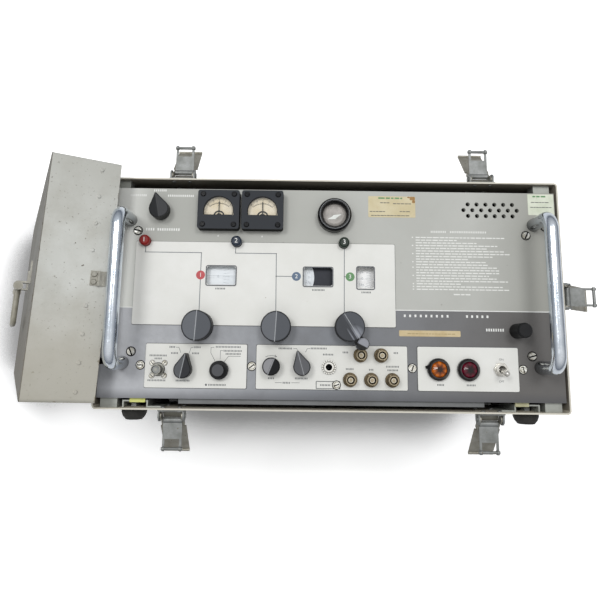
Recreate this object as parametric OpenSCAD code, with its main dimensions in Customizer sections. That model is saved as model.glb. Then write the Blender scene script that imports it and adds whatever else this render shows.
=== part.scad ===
// Rack frequency meter lying on its back in a transit case, with the lid leaning beside it.
// Millimetres. +Z is out of the panel, +Y is towards the panel's top, the back rests on z = 0.

/* [Case] */
// Outside width of the case
case_w = 490; // [460:1:540]
// Outside height of the case, across the panel
case_h = 245; // [238:1:280]
// Depth of the case from the back to the rim
case_d = 416; // [320:1:520]
// Sheet thickness of the case
case_wall = 1.6; // [1.2:0.1:2.4]
// Corner radius of the case
case_r = 4; // [3:0.5:12]
// How far the panel lies below the rim
panel_recess = 2; // [1:0.5:10]
// Diameter of a rubber foot at the case
foot_d = 26.4; // [20:0.2:32]
// Height of a rubber foot
foot_h = 12; // [8:0.5:18]
// Sideways place of the feet from the middle
foot_x = 208; // [160:0.5:208.5]
// Distance of the front feet from the rim
foot_front = 27; // [20:1:60]
// Distance of the rear feet from the back
foot_rear = 60; // [30:1:120]
// Diameter of a foot bolt
foot_bolt_d = 6; // [4:0.5:8]

/* [Rails] */
// Width of a rack rail
rack_rail_w = 17.5; // [14:0.5:18]
// Depth of a rack rail
rack_rail_d = 16; // [10:0.5:24]
// Sideways place of the rack rails
rack_rail_x = 229.75; // [229:0.25:231]
// Sheet thickness of the rails
rail_t = 1.5; // [1:0.1:2]
// Sideways place of the skid rails
skid_x = 203; // [195:0.5:205]
// Width of a skid rail between its walls
skid_w = 23.4; // [18:0.2:24]
// Height of a skid rail
skid_h = 7.4; // [6.8:0.2:8]
// Inner flange of a skid rail
skid_flange = 15; // [8:0.5:16]

/* [Latches] */
// Sideways place of the latches on the long walls
latch_x = 165; // [120:1:190]
// Width of a latch base
latch_w = 26.8; // [24:0.2:32]
// Sheet thickness of a latch base and link
latch_t = 1.6; // [1.2:0.1:2]
// Length of a latch base down the wall
latch_base_l = 37; // [34:0.5:44]
// Distance of the lever's pivot from the wall
latch_pivot_out = 6.5; // [6:0.1:8]
// Distance of the lever's pivot below the rim
latch_pivot_down = 12; // [10:0.5:20]
// Angle of the open lever below level
latch_lever_angle = 43; // [38:1:48]
// Length of a lever from its pivot
latch_lever_l = 54; // [44:1:60]
// Distance of the link's pin along the lever
latch_crank = 8; // [7:0.25:9]
// Length of a link from its pin to its rod
latch_link_l = 29; // [26:0.5:34]
// Width of a link
latch_link_w = 20; // [17:0.2:20]
// Diameter of the rod across a link's loop
latch_rod_d = 3.2; // [2.5:0.1:4]

/* [Lid] */
// Depth of the lid
lid_d = 68; // [60:0.5:80]
// Sheet thickness of the lid
lid_wall = 1.5; // [1.2:0.1:2.2]
// Lean of the lid from upright
lid_lean = 26.2; // [22:0.1:30]
// Turn of the lid about the upright
lid_yaw = 2.7; // [1:0.1:3]
// Sideways shift of the lid along the case's end
lid_shift = 7.3; // [6:0.1:9]
// Gap between the lid's edge and the case where it leans
lid_gap = 0.5; // [0.3:0.1:2]
// Width of a keeper
keeper_w = 15; // [12:0.5:20]
// Length of a keeper from the lid's edge
keeper_l = 18; // [16:0.5:24]
// Rod diameter of the lid handle
bail_d = 7; // [5:0.5:9]
// Distance between the lid handle's legs
bail_w = 100; // [60:1:140]
// Length of the lid handle's legs
bail_l = 46; // [30:1:60]
// Distance of the lid handle's axis from the lid
bail_out = 13; // [8:0.5:16]

/* [Panel] */
// Panel width
panel_w = 482.6; // [480:0.1:484]
// Panel height
panel_h = 222.25; // [220:0.05:224]
// Panel thickness
panel_t = 4.8; // [3.2:0.1:6]
// Thickness of the white plates
plate_t = 1.5; // [0.8:0.1:1.8]
// Sideways place of the panel handles
handle_x = 217; // [215:0.5:217]
// Overall length of a panel handle
handle_l = 165; // [130:1:180]
// Height of the grip's middle over the panel
handle_h = 44; // [36:0.5:56]
// Bar diameter of a panel handle
handle_d = 14; // [10:0.5:14]
// Height of a rack screw over the panel's middle
rack_screw_y = 74; // [60:0.5:80]

/* [Instruments] */
// Width of a meter
meter_w = 44.2; // [43:0.1:46]
// Height of a meter
meter_h = 42.2; // [41.5:0.1:46]
// Height of a meter over the panel
meter_t = 12; // [10:0.5:14]
// Diameter of a meter's body behind the panel
meter_body_d = 40; // [36:0.5:41]
// Outer diameter of the round indicator's bezel
eye_d = 36; // [32:0.5:38]
// Height of the round indicator's bezel
eye_h = 13; // [8:0.5:20]
// Diameter of the indicator tube
eye_tube_d = 25; // [18:0.5:26]
// Outer diameter of a lamp bezel
lamp_d = 22.8; // [20:0.2:26]
// Diameter of a lamp lens
lamp_lens_d = 16.6; // [14:0.2:18]
// Diameter of a lock button
button_d = 11; // [9:0.2:12]
// Height of a lock button over the panel
button_h = 10; // [7:0.5:14]
// Stroke of a lock button
button_stroke = 3; // [2:0.5:3.5]
// Radius of the first and second dials
dial_r = 48; // [47.5:0.1:49]
// Radius of the third dial
dial3_r = 36.5; // [36:0.1:38]

/* [Knobs] */
// Diameter of a tuning knob
tuning_d = 31; // [26:0.5:33]
// Height of a tuning knob
tuning_h = 20; // [16:0.5:26]
// Diameter of the crank's disc
crank_d = 30.6; // [26:0.5:32]
// Height of the crank's disc
crank_h = 18; // [18:0.5:22]
// Distance of the spinner from the crank's middle
spinner_r = 21; // [20:0.5:24]
// Diameter of the spinner
spinner_d = 12.6; // [10:0.2:13]
// Height of the spinner
spinner_h = 18; // [12:0.5:24]
// Diameter of the lock selector knob
lock_knob_d = 20.6; // [17:0.2:22]
// Diameter of the range and audio selector knobs
pointer_d = 17.6; // [15:0.2:18]
// Reach of a pointer's tip from its middle
pointer_l = 16.7; // [14:0.1:17]
// Height of a pointer knob
pointer_h = 14; // [10:0.5:18]
// Diameter of the gain and attenuator knobs
small_knob_d = 18; // [15:0.2:19]
// Height of the gain and attenuator knobs
small_knob_h = 14; // [10:0.5:18]
// Diameter of the reset knob
reset_knob_d = 15.4; // [12:0.2:18]
// Height of the reset knob
reset_knob_h = 25; // [16:0.5:30]
// Shaft diameter of the knobs
shaft_d = 6.3; // [5:0.1:6.4]

/* [Connectors] */
// Outer diameter of a coaxial jack
jack_d = 9.7; // [8:0.1:10]
// Diameter of a coaxial jack's nut
jack_nut_d = 14.6; // [12:0.2:15]
// Height of a coaxial jack
jack_h = 12; // [8:0.5:12]
// Bore of the phones jack
phones_bore = 6.6; // [6.4:0.1:7]
// Depth of the phones jack's bore
phones_depth = 31; // [28:0.5:36]
// Outer diameter of the phones jack's ring
phones_d = 14.2; // [12:0.2:16]
// Diameter of the switch's bushing
switch_d = 11.8; // [10:0.2:12]
// Length of the switch lever over its pivot
switch_lever_l = 19; // [14:0.5:24]
// Lean of the switch lever
switch_angle = 13; // [8:0.5:15]

/* [Fits] */
// Running clearance of a shaft or pin, on the radius
run_fit = 0.06; // [0.03:0.01:0.1]
// Clearance between bodies that pass each other
body_gap = 0.4; // [0.3:0.05:0.6]

/* [Hidden] */
$fn = 64;
cut = 1;
panel_z = case_d - panel_recess;
back_z = -panel_t;
in_w = case_w - 2 * case_wall;
in_h = case_h - 2 * case_wall;
floor_y = -in_h / 2;
foot_head_d = foot_bolt_d + 3;
foot_head_h = 4;
nut_h = 3.6;
latch_ear_t = 1.6;
latch_ear_r = 6;
latch_pin_r = 2;
latch_in = latch_w / 2 - latch_ear_t;
latch_pin_in = latch_link_w / 2 + body_gap;
lever_out = latch_in - body_gap + 0.1;
lever_t = 1.2;
lever_hub_r = 4.5;
link_pin_r = 1.5;
link_knuckle_r = 3;
latch_pin_off = -1;
latch_walls = [
    [-latch_x, case_h / 2, 0],
    [latch_x, case_h / 2, 0],
    [-latch_x, -case_h / 2, 180],
    [latch_x, -case_h / 2, 180],
    [case_w / 2, 0, -90],
    [-case_w / 2, 0, 90]
];
rivet_r = 1.4;
rivet_x = 8.5;
rivet_low = 34;
rivet_high = 7;
lid_rivet_row = 19;
lid_w = case_w;
lid_h = case_h;
keeper_start = 3.2;
keeper_t = 1.2;
lid_top_z = lid_w * cos(lid_lean);
lid_rim_run = (lid_top_z - case_d) * tan(lid_lean) * cos(lid_yaw);
lid_x = -case_w / 2 - lid_gap / cos(lid_lean) + lid_rim_run + lid_h / 2 * sin(lid_yaw);
lid_keeper_x = [-lid_w / 2 - latch_x, -lid_w / 2 + latch_x];
bail_x = -lid_w / 2;
bail_axis = lid_d + bail_out;
strap_l = 14;
strap_t = 2;
strap_foot = 28;
dial_plate_x = [-209.3, 66.7];
dial_plate_y = [-36, 52.2];
window_y = 16.4;
windows = [[-117.6, 30.5, 19.4], [-14.9, 30.2, 19.6], [35.5, 17.5, 23]];
tune_1 = [-139.1, -37.2];
tune_2 = [-58.2, -37.2];
crank_p = [17.7, -36.2];
button_p = [[-199.2, 52.6], [-102, 52.6], [12.3, 52.6]];
button_collar = 0.8;
button_chamfer = 1.5;
dial_1_p = [-145.7, window_y];
dial_2_p = [-45, window_y];
dial_3_p = [11.2, window_y];
drive_1_r = norm(dial_1_p - tune_1) - dial_r;
drive_2_r = norm(dial_2_p - tune_2) - dial_r;
drive_3_r = norm(dial_3_p - crank_p) - dial3_r;
pinch_grip = 0.9;
pinch_t = 1;
pinch_gap = 0.15;
disc_t = 1.2;
disc_z = back_z - 1.6;
disc3_z = back_z - 5.2;
dial_post_d = 6;
meter_p = [[-121.6, 86], [-74.9, 86]];
meter_arch_r = 16;
meter_arch_y = -1.5;
meter_win_low = -6.3;
meter_low = -14;
meter_screw = 16.5;
meter_cavity = 5.4;
meter_glass_t = 1;
meter_glass_z = meter_t - 1.4;
meter_scale_t = 0.8;
meter_scale_z = meter_glass_z - meter_cavity;
meter_back = 30;
needle_y = -8;
needle_l = 17.5;
needle_staff_r = 0.8;
eye_p = [2, 82.3];
lock_p = [-185, 85.8];
lock_turn = 11;
range_p = [-152.4, -81.6];
range_turn = -11;
atten_p = [-115.9, -81.8];
gain_p = [-62.4, -77.4];
audio_p = [-31.1, -77.5];
audio_turn = 16;
reset_p = [193.4, -38.2];
input_p = [-179, -81.8];
input_screw = 6.4;
jack_nut_h = 2.6;
phones_p = [-3.2, -77.6];
trim_p = [4.7, -95.6];
jack_p = [[29.4, -65], [50.8, -65], [18.6, -90], [40.3, -90], [62.1, -90]];
lamp_p = [[109.6, -78.5], [140.6, -78.5]];
switch_p = [174.3, -77.9];
switch_pivot = 4;
control_x = [[-192.8, -88], [-78.1, 78], [88.8, 193]];
control_y = [-100.3, -55.6];
speaker_p = [171.2, 91.5];
speaker_pitch = 9.64;
speaker_row = 6.4;
speaker_hole = 2.3;
speaker_frame_r = 19.4;
corner_screw = [208.5, 64];
corner_screw_r = 2.4;
rack_screw_r = 2.4;
cup_h = 1.2;
handle_screw_r = 2.4;
handle_tap = 14;
plate_screw_r = 1.7;
meter_screw_r = 1.4;
input_screw_r = 1.1;
trim_r = 2.1;
plate_screw_x = [-198, -82.8, 83.4, 198.2];
plate_screw_y = -77.7;
deck_y = -116.5;
deck_t = 2;
deck_d = 320;
deck_front = 30;
deck_x = 174;
lip_x = 158;
lip_h = 6;
side_z = 46;
box_z = 48;
box_w = 62;
box_d = 92;
pot_r = 13;
pot_d = 24;
knob_lift = plate_t + body_gap + 0.3;
eave_share = 0.68;
ridge_w = 1.6;
tuning_turn = -3;
gain_turn = -22;
crank_turn = -58;

// Box with round upright corners
module round_box(w, h, d, r) {
    translate([-w / 2 + r, -h / 2, 0])
        cube([w - 2 * r, h, d]);
    translate([-w / 2, -h / 2 + r, 0])
        cube([w, h - 2 * r, d]);
    for (sx = [-1, 1])
        for (sy = [-1, 1])
            translate([sx * (w / 2 - r), sy * (h / 2 - r), 0])
                cylinder(r = r, h = d);
}

// Everything on the panel is drawn with the panel's front face at z = 0
module at_panel() {
    translate([0, 0, panel_z])
        children();
}

module at(p) {
    translate([p[0], p[1], 0])
        children();
}

module through(r) {
    translate([0, 0, -panel_t - cut])
        cylinder(r = r, h = panel_t + plate_t + 2 * cut);
}

// Slotted screw: head over z = 0, shank below it
module screw(head_r, head_h, shank_r, shank_l, turn) {
    difference() {
        cylinder(r1 = head_r, r2 = head_r * 0.82, h = head_h);
        rotate(turn)
            translate([-head_r - cut, -head_r * 0.11, head_h * 0.55])
                cube([2 * head_r + 2 * cut, head_r * 0.22, head_h]);
    }
    translate([0, 0, -shank_l])
        cylinder(r = shank_r, h = shank_l);
}

module foot_places() {
    for (sx = [-1, 1])
        for (z = [foot_rear, case_d - foot_front])
            translate([sx * foot_x, -case_h / 2, z])
                rotate([90, 0, 0])
                    children();
}

// Latch frame: x along the wall, y outwards, z = 0 at the rim
module on_wall(i) {
    translate([latch_walls[i][0], latch_walls[i][1], case_d])
        rotate(latch_walls[i][2])
            children();
}

module latch_rivet_places() {
    for (x = [-rivet_x, rivet_x])
        for (z = [-rivet_low, -rivet_high])
            translate([x, 0, z])
                rotate([-90, 0, 0])
                    children();
}

module case_shell() {
    color([0.70, 0.69, 0.64])
        difference() {
            round_box(case_w, case_h, case_d, case_r);
            translate([0, 0, case_wall])
                round_box(in_w, in_h, case_d, case_r - case_wall);
            foot_places()
                translate([0, 0, -case_wall - cut])
                    cylinder(d = foot_bolt_d, h = case_wall + 2 * cut);
            for (i = [0:5])
                on_wall(i)
                    latch_rivet_places()
                        translate([0, 0, -case_wall - cut])
                            cylinder(r = rivet_r, h = case_wall + 2 * cut);
        }
}

module case_feet() {
    color([0.10, 0.10, 0.10])
        foot_places()
            difference() {
                union() {
                    cylinder(d = foot_d, h = foot_h * 0.35);
                    translate([0, 0, foot_h * 0.35])
                        cylinder(d1 = foot_d, d2 = foot_d - 3, h = foot_h * 0.35);
                    translate([0, 0, foot_h * 0.7])
                        cylinder(d1 = foot_d - 3, d2 = foot_d - 9, h = foot_h * 0.3);
                }
                translate([0, 0, -cut])
                    cylinder(d = foot_bolt_d, h = foot_h + 2 * cut);
                translate([0, 0, foot_h - foot_head_h - 2])
                    cylinder(d = foot_head_d, h = foot_head_h + 2 + cut);
            }
}

module case_fasteners() {
    color([0.62, 0.62, 0.60]) {
        foot_places() {
            translate([0, 0, foot_h - foot_head_h - 2])
                cylinder(d = foot_head_d - 1, h = foot_head_h);
            translate([0, 0, -case_wall - nut_h - 1])
                cylinder(d = foot_bolt_d, h = foot_h - foot_head_h + case_wall + nut_h);
            translate([0, 0, -case_wall - nut_h])
                cylinder(d = foot_bolt_d * 1.7, h = nut_h, $fn = 6);
        }
        for (i = [0:5])
            on_wall(i)
                latch_rivet_places() {
                    translate([0, 0, latch_t])
                        cylinder(r1 = 2.3, r2 = 1.5, h = 1.1);
                    translate([0, 0, -case_wall - 1])
                        cylinder(r = rivet_r, h = case_wall + latch_t + 1);
                    translate([0, 0, -case_wall - 1])
                        cylinder(r = 2.2, h = 1);
                }
    }
}

module rack_rail() {
    translate([-rack_rail_w / 2, -in_h / 2, back_z - 2])
        difference() {
            cube([rack_rail_w, in_h, 2]);
            for (y = [in_h / 2 - rack_screw_y, in_h / 2 + rack_screw_y])
                translate([rack_rail_w / 2, y, -cut])
                    cylinder(r = rack_screw_r, h = 2 + 2 * cut);
        }
    for (x = [-rack_rail_w / 2, rack_rail_w / 2 - rail_t])
        translate([x, -in_h / 2, back_z - rack_rail_d])
            cube([rail_t, in_h, rack_rail_d - 1]);
}

// Hat-section skid; dir points to the middle of the case
module skid_rail(dir) {
    skid_l = panel_z - panel_t - 22;
    translate([-skid_w / 2 - rail_t, floor_y + skid_h - rail_t, 20])
        cube([skid_w + 2 * rail_t, rail_t, skid_l]);
    for (x = [-skid_w / 2 - rail_t, skid_w / 2])
        translate([x, floor_y, 20])
            cube([rail_t, skid_h, skid_l]);
    translate([dir > 0 ? skid_w / 2 : -skid_w / 2 - skid_flange, floor_y, 20])
        cube([skid_flange, rail_t, skid_l]);
}

module case_rails() {
    color([0.60, 0.61, 0.60]) {
        for (sx = [-1, 1]) {
            translate([sx * rack_rail_x, 0, panel_z])
                rack_rail();
            translate([sx * skid_x, 0, 0])
                skid_rail(-sx);
        }
    }
}

module latch_base() {
    difference() {
        translate([-latch_w / 2, 0, -latch_base_l - 3])
            cube([latch_w, latch_t, latch_base_l]);
        latch_rivet_places()
            translate([0, 0, -cut])
                cylinder(r = rivet_r, h = latch_t + 2 * cut);
    }
    for (sx = [-1, 1]) {
        translate([sx * (latch_w / 2 - latch_ear_t / 2), 0, -latch_pivot_down]) {
            translate([-latch_ear_t / 2, 0, -latch_ear_r])
                cube([latch_ear_t, latch_pivot_out, 2 * latch_ear_r]);
            translate([-latch_ear_t / 2, latch_pivot_out, 0])
                rotate([0, 90, 0])
                    cylinder(r = latch_ear_r, h = latch_ear_t);
        }
        translate([sx * latch_pin_in, latch_pivot_out, -latch_pivot_down])
            rotate([0, sx * 90, 0]) {
                cylinder(r = latch_pin_r, h = latch_w / 2 - latch_pin_in);
                translate([0, 0, latch_w / 2 - latch_pin_in - 0.2])
                    cylinder(r = latch_pin_r + 0.9, h = 1.2);
            }
    }
}

module latch_bases() {
    color([0.52, 0.53, 0.53])
        for (i = [0:5])
            on_wall(i)
                latch_base();
}

// Lever frame: origin on its pivot, y along the lever, z on the link's side
module lever_frame(i) {
    on_wall(i)
        translate([0, latch_pivot_out, -latch_pivot_down])
            rotate([-latch_lever_angle, 0, 0])
                children();
}

module latch_lever(i) {
    color([0.58, 0.54, 0.46])
        lever_frame(i) {
            for (sx = [-1, 1])
                translate([sx * (lever_out - lever_t / 2) - lever_t / 2, 0, 0])
                    difference() {
                        union() {
                            rotate([0, 90, 0])
                                cylinder(r = lever_hub_r, h = lever_t);
                            translate([0, 0, -lever_hub_r])
                                cube([lever_t, 16, lever_hub_r + 1.5]);
                        }
                        translate([-cut, 0, 0])
                            rotate([0, 90, 0])
                                cylinder(r = latch_pin_r + run_fit, h = lever_t + 2 * cut);
                    }
            translate([-lever_out, latch_crank, latch_pin_off])
                rotate([0, 90, 0])
                    cylinder(r = link_pin_r, h = 2 * lever_out);
            translate([-lever_out, 13, -1.5])
                cube([2 * lever_out, 4, 1.5]);
            translate([-latch_w / 2, 16, -1.5])
                cube([latch_w, latch_lever_l - 16, 1.5]);
            translate([-latch_w / 2, latch_lever_l, -0.1])
                rotate([0, 90, 0])
                    cylinder(r = 1.6, h = latch_w);
        }
}

// Link frame: origin on its pin, y outwards and level
module link_frame(i) {
    lever_frame(i)
        translate([0, latch_crank, latch_pin_off])
            rotate([latch_lever_angle, 0, 0])
                children();
}

module latch_link(i) {
    half = latch_link_w / 2;
    plate_l = latch_link_l - 10;
    color([0.55, 0.56, 0.56])
        link_frame(i)
            difference() {
                union() {
                    translate([-half, 0, 0])
                        rotate([0, 90, 0])
                            cylinder(r = link_knuckle_r, h = latch_link_w);
                    translate([-half, 0, -latch_t / 2])
                        cube([latch_link_w, plate_l, latch_t]);
                    for (x = [-half, half - 2.4])
                        translate([x, plate_l - 1, -latch_t / 2]) {
                            cube([2.4, 11, latch_t]);
                            translate([0, 11, latch_t / 2])
                                rotate([0, 90, 0])
                                    cylinder(d = latch_rod_d + 2, h = 2.4);
                        }
                    translate([-half - 1, latch_link_l, 0])
                        rotate([0, 90, 0])
                            cylinder(d = latch_rod_d, h = latch_link_w + 2);
                }
                translate([-half - cut, 0, 0])
                    rotate([0, 90, 0])
                        cylinder(r = link_pin_r + run_fit, h = latch_link_w + 2 * cut);
            }
}

// Lid frame: x up along the lid from 0 at its upper end, z from the open edge to the front face
module lid_frame() {
    translate([lid_x, lid_shift, lid_top_z])
        rotate([0, lid_lean - 90, -lid_yaw])
            children();
}

module lid_shell() {
    color([0.70, 0.69, 0.64])
        lid_frame()
            translate([-lid_w / 2, 0, 0])
                difference() {
                    round_box(lid_w, lid_h, lid_d, case_r);
                    translate([0, 0, -lid_wall])
                        round_box(lid_w - 2 * lid_wall, lid_h - 2 * lid_wall, lid_d, case_r - lid_wall);
                }
}

module lid_gasket() {
    color([0.12, 0.12, 0.12])
        lid_frame()
            translate([-lid_w / 2, 0, 3])
                difference() {
                    round_box(lid_w - 2 * lid_wall, lid_h - 2 * lid_wall, 6, case_r - lid_wall);
                    translate([0, 0, -cut])
                        round_box(lid_w - 2 * lid_wall - 9, lid_h - 2 * lid_wall - 9, 6 + 2 * cut, 3);
                }
}

// Keeper frame: y outwards from the lid's wall, z from the open edge inwards
module keeper() {
    translate([-keeper_w / 2, 0, keeper_start])
        cube([keeper_w, keeper_t, keeper_l - keeper_start]);
    translate([-keeper_w / 2, 0, keeper_l / 2])
        cube([keeper_w, 3 * keeper_t, 2.2]);
}

module lid_walls() {
    for (x = lid_keeper_x)
        for (sy = [-1, 1])
            translate([x, sy * lid_h / 2, 0])
                rotate(sy > 0 ? 0 : 180)
                    children();
    rotate(-90)
        children();
    translate([-lid_w, 0, 0])
        rotate(90)
            children();
}

module lid_brackets() {
    color([0.55, 0.56, 0.56])
        lid_frame() {
            lid_walls()
                keeper();
            for (sx = [-1, 1])
                translate([bail_x + sx * (bail_w / 2 + bail_d / 2 + 1 + strap_l / 2), 0, lid_d])
                    difference() {
                        union() {
                            translate([-strap_l / 2, bail_d / 2, 0])
                                cube([strap_l, strap_t, bail_out]);
                            translate([-strap_l / 2, 0, bail_out])
                                rotate([0, 90, 0])
                                    cylinder(r = bail_d / 2 + strap_t, h = strap_l);
                            translate([-strap_l / 2, bail_d / 2, 0])
                                cube([strap_l, strap_foot, strap_t]);
                        }
                        translate([-strap_l / 2 - cut, 0, bail_out])
                            rotate([0, 90, 0])
                                cylinder(d = bail_d + 2 * run_fit, h = strap_l + 2 * cut);
                    }
        }
}

module lid_rivets() {
    color([0.66, 0.65, 0.61])
        lid_frame() {
            for (y = [-112, -84, -56, -28, 28, 56, 84, 112])
                translate([0, y, lid_rivet_row])
                    rotate([0, 90, 0])
                        cylinder(r1 = 2.4, r2 = 1.4, h = 1.1);
            lid_walls()
                for (x = [-4, 4])
                    translate([x, keeper_t, keeper_l - 3])
                        rotate([-90, 0, 0])
                            cylinder(r1 = 2, r2 = 1.2, h = 1);
        }
}

// Drawn with its legs along -x, then turned to hang across the lid
module lid_handle() {
    leg_y = bail_w / 2;
    bend = bail_d;
    color([0.45, 0.45, 0.44])
        lid_frame()
            translate([bail_x, 0, bail_axis])
                rotate(90)
                    for (sy = [-1, 1]) {
                        translate([0, sy * (leg_y - bail_d / 2), 0])
                            rotate([-sy * 90, 0, 0])
                                cylinder(d = bail_d, h = strap_l + bail_d + 1.5);
                        translate([-bail_l + bend, sy * leg_y, 0])
                            rotate([0, 90, 0])
                                cylinder(d = bail_d, h = bail_l - bend);
                        translate([-bail_l + bend, sy * (leg_y - bend), 0])
                            rotate(sy > 0 ? 90 : 180)
                                rotate_extrude(angle = 90)
                                    translate([bend, 0])
                                        circle(d = bail_d);
                        translate([-bail_l, 0, 0])
                            rotate([-sy * 90, 0, 0])
                                cylinder(d = bail_d, h = leg_y - bend);
                        translate([0, sy * leg_y, 0])
                            sphere(d = bail_d);
                    }
}

module speaker_holes() {
    for (row = [-1, 0, 1]) {
        count = row == 0 ? 7 : 6;
        for (i = [0:count - 1])
            at(speaker_p + [(i - (count - 1) / 2) * speaker_pitch, row * speaker_row])
                through(speaker_hole);
    }
}

// Shaft, jack and lamp holes shared by the panel and the plates on it
module control_holes() {
    for (p = [tune_1, tune_2, crank_p, lock_p, range_p, atten_p, gain_p, audio_p, reset_p])
        at(p)
            through(shaft_d / 2 + run_fit);
    for (p = jack_p)
        at(p)
            through(jack_d / 2);
    at(input_p)
        through(jack_d / 2);
    at(phones_p)
        through(phones_bore / 2 + 1.5);
    at(trim_p)
        through(trim_r);
    for (p = lamp_p)
        at(p)
            through(6.4);
    at(switch_p)
        through(switch_d / 2);
    for (p = button_p)
        at(p)
            through(button_d / 2 + run_fit);
    for (sx = [-1, 1])
        for (sy = [-1, 1])
            translate([input_p[0] + sx * input_screw, input_p[1] + sy * input_screw, 0])
                through(input_screw_r);
}

module window_cuts(grow) {
    for (w = windows)
        translate([w[0], window_y, -panel_t - cut])
            round_box(w[1] + grow, w[2] + grow, panel_t + plate_t + 2 * cut, 2.4 + grow / 2);
}

module front_panel() {
    slot_r = 3.4;
    slot_in = rack_rail_x - slot_r;
    slot_l = panel_w / 2 + cut - slot_in;
    color([0.62, 0.62, 0.60])
        at_panel()
            difference() {
                translate([-panel_w / 2, -panel_h / 2, -panel_t])
                    cube([panel_w, panel_h, panel_t]);
                control_holes();
                window_cuts(3);
                speaker_holes();
                for (p = meter_p)
                    at(p) {
                        through(meter_body_d / 2);
                        for (sx = [-1, 1])
                            for (sy = [-1, 1])
                                translate([sx * meter_screw, sy * meter_screw, 0])
                                    through(meter_screw_r);
                    }
                at(eye_p)
                    through(eye_tube_d / 2 + 1.5);
                for (sx = [-1, 1])
                    for (sy = [-1, 1]) {
                        translate([sx * corner_screw[0], sy * corner_screw[1], 0])
                            through(corner_screw_r);
                        translate([sx * handle_x, sy * (handle_l - handle_d) / 2, 0])
                            through(handle_screw_r);
                        translate([sx * slot_in, sy * rack_screw_y, 0])
                            through(slot_r);
                        translate([sx * (slot_in + slot_l / 2), sy * rack_screw_y, -panel_t / 2])
                            cube([slot_l, 2 * slot_r, panel_t + 2 * cut], center = true);
                    }
                for (x = plate_screw_x)
                    translate([x, plate_screw_y, 0])
                        through(plate_screw_r);
            }
}

// White plate between two x and two y values
module plate(x, y) {
    translate([(x[0] + x[1]) / 2, (y[0] + y[1]) / 2, 0])
        round_box(x[1] - x[0], y[1] - y[0], plate_t, 1.5);
}

module dial_plate() {
    color([0.88, 0.88, 0.86])
        at_panel()
            difference() {
                plate(dial_plate_x, dial_plate_y);
                for (p = [tune_1, tune_2, crank_p])
                    at(p)
                        through(6);
                for (p = button_p)
                    at(p)
                        through(button_d / 2 + body_gap);
                window_cuts(0);
            }
}

module control_plates() {
    color([0.88, 0.88, 0.86])
        at_panel()
            difference() {
                for (x = control_x)
                    plate(x, control_y);
                control_holes();
            }
}

module rack_handle() {
    r = handle_d / 2;
    bend = handle_d;
    leg_y = handle_l / 2 - r;
    difference() {
        union() {
            for (sy = [-1, 1]) {
                translate([0, sy * leg_y, 0])
                    cylinder(d = handle_d, h = handle_h - bend);
                translate([0, sy * (leg_y - bend), handle_h - bend])
                    rotate([90, 0, sy * 90])
                        rotate_extrude(angle = 90)
                            translate([bend, 0])
                                circle(d = handle_d);
            }
            translate([0, bend - leg_y, handle_h])
                rotate([-90, 0, 0])
                    cylinder(d = handle_d, h = 2 * (leg_y - bend));
        }
        for (sy = [-1, 1])
            translate([0, sy * leg_y, -cut])
                cylinder(r = handle_screw_r, h = handle_tap + cut);
    }
}

module rack_handles() {
    color([0.80, 0.80, 0.80])
        at_panel()
            for (sx = [-1, 1])
                translate([sx * handle_x, 0, 0])
                    rack_handle();
}

// Shoulder screw behind the panel that a dial turns on
module dial_post(front_z) {
    translate([0, 0, front_z + body_gap])
        cylinder(r = dial_post_d / 2 + 2, h = back_z - front_z - body_gap);
    translate([0, 0, front_z - disc_t - body_gap - 1])
        cylinder(d = dial_post_d, h = disc_t + 2 * body_gap + 1);
    translate([0, 0, front_z - disc_t - body_gap - 1])
        cylinder(r = dial_post_d / 2 + 1.5, h = 1);
}

module panel_screws() {
    color([0.66, 0.65, 0.60])
        at_panel() {
            for (sx = [-1, 1])
                for (sy = [-1, 1]) {
                    translate([sx * corner_screw[0], sy * corner_screw[1], 0])
                        screw(4.2, 2.4, corner_screw_r, panel_t + 8, 40 * sx + 25 * sy);
                    translate([sx * rack_rail_x, sy * rack_screw_y, 0]) {
                        cylinder(r1 = 5.4, r2 = 4.8, h = cup_h);
                        translate([0, 0, cup_h])
                            screw(4.4, 2.6, rack_screw_r, cup_h + panel_t + 6, 70 + 30 * sx * sy);
                    }
                    translate([sx * handle_x, sy * (handle_l - handle_d) / 2, back_z])
                        rotate([180, 0, 0])
                            screw(3.6, 2.4, handle_screw_r, panel_t + 9, 0);
                }
            for (i = [0:3])
                translate([plate_screw_x[i], plate_screw_y, 0])
                    screw(3.2, 1.9, plate_screw_r, panel_t + 5, 35 * i);
            for (p = meter_p)
                for (sx = [-1, 1])
                    for (sy = [-1, 1])
                        translate([p[0] + sx * meter_screw, p[1] + sy * meter_screw, meter_t])
                            screw(2.5, 1.2, meter_screw_r, meter_t + panel_t + 4, 60 * sx + 40 * sy);
            for (sx = [-1, 1])
                for (sy = [-1, 1])
                    translate([input_p[0] + sx * input_screw, input_p[1] + sy * input_screw, plate_t])
                        screw(2, 1.2, input_screw_r, plate_t + panel_t + 2, 50 * sx);
            at(trim_p)
                translate([0, 0, plate_t])
                    screw(3, 1.2, trim_r, plate_t + panel_t + 8, 20);
            at(dial_1_p)
                dial_post(disc_z);
            at(dial_2_p)
                dial_post(disc_z);
            at(dial_3_p)
                dial_post(disc3_z);
        }
}

// Arched meter window from its low edge up
module meter_window(low, d) {
    translate([-meter_arch_r, low, 0])
        cube([2 * meter_arch_r, meter_arch_y - low, d]);
    intersection() {
        translate([0, meter_arch_y, 0])
            cylinder(r = meter_arch_r, h = d);
        translate([-meter_arch_r, meter_arch_y, 0])
            cube([2 * meter_arch_r, meter_arch_r, d]);
    }
}

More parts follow.
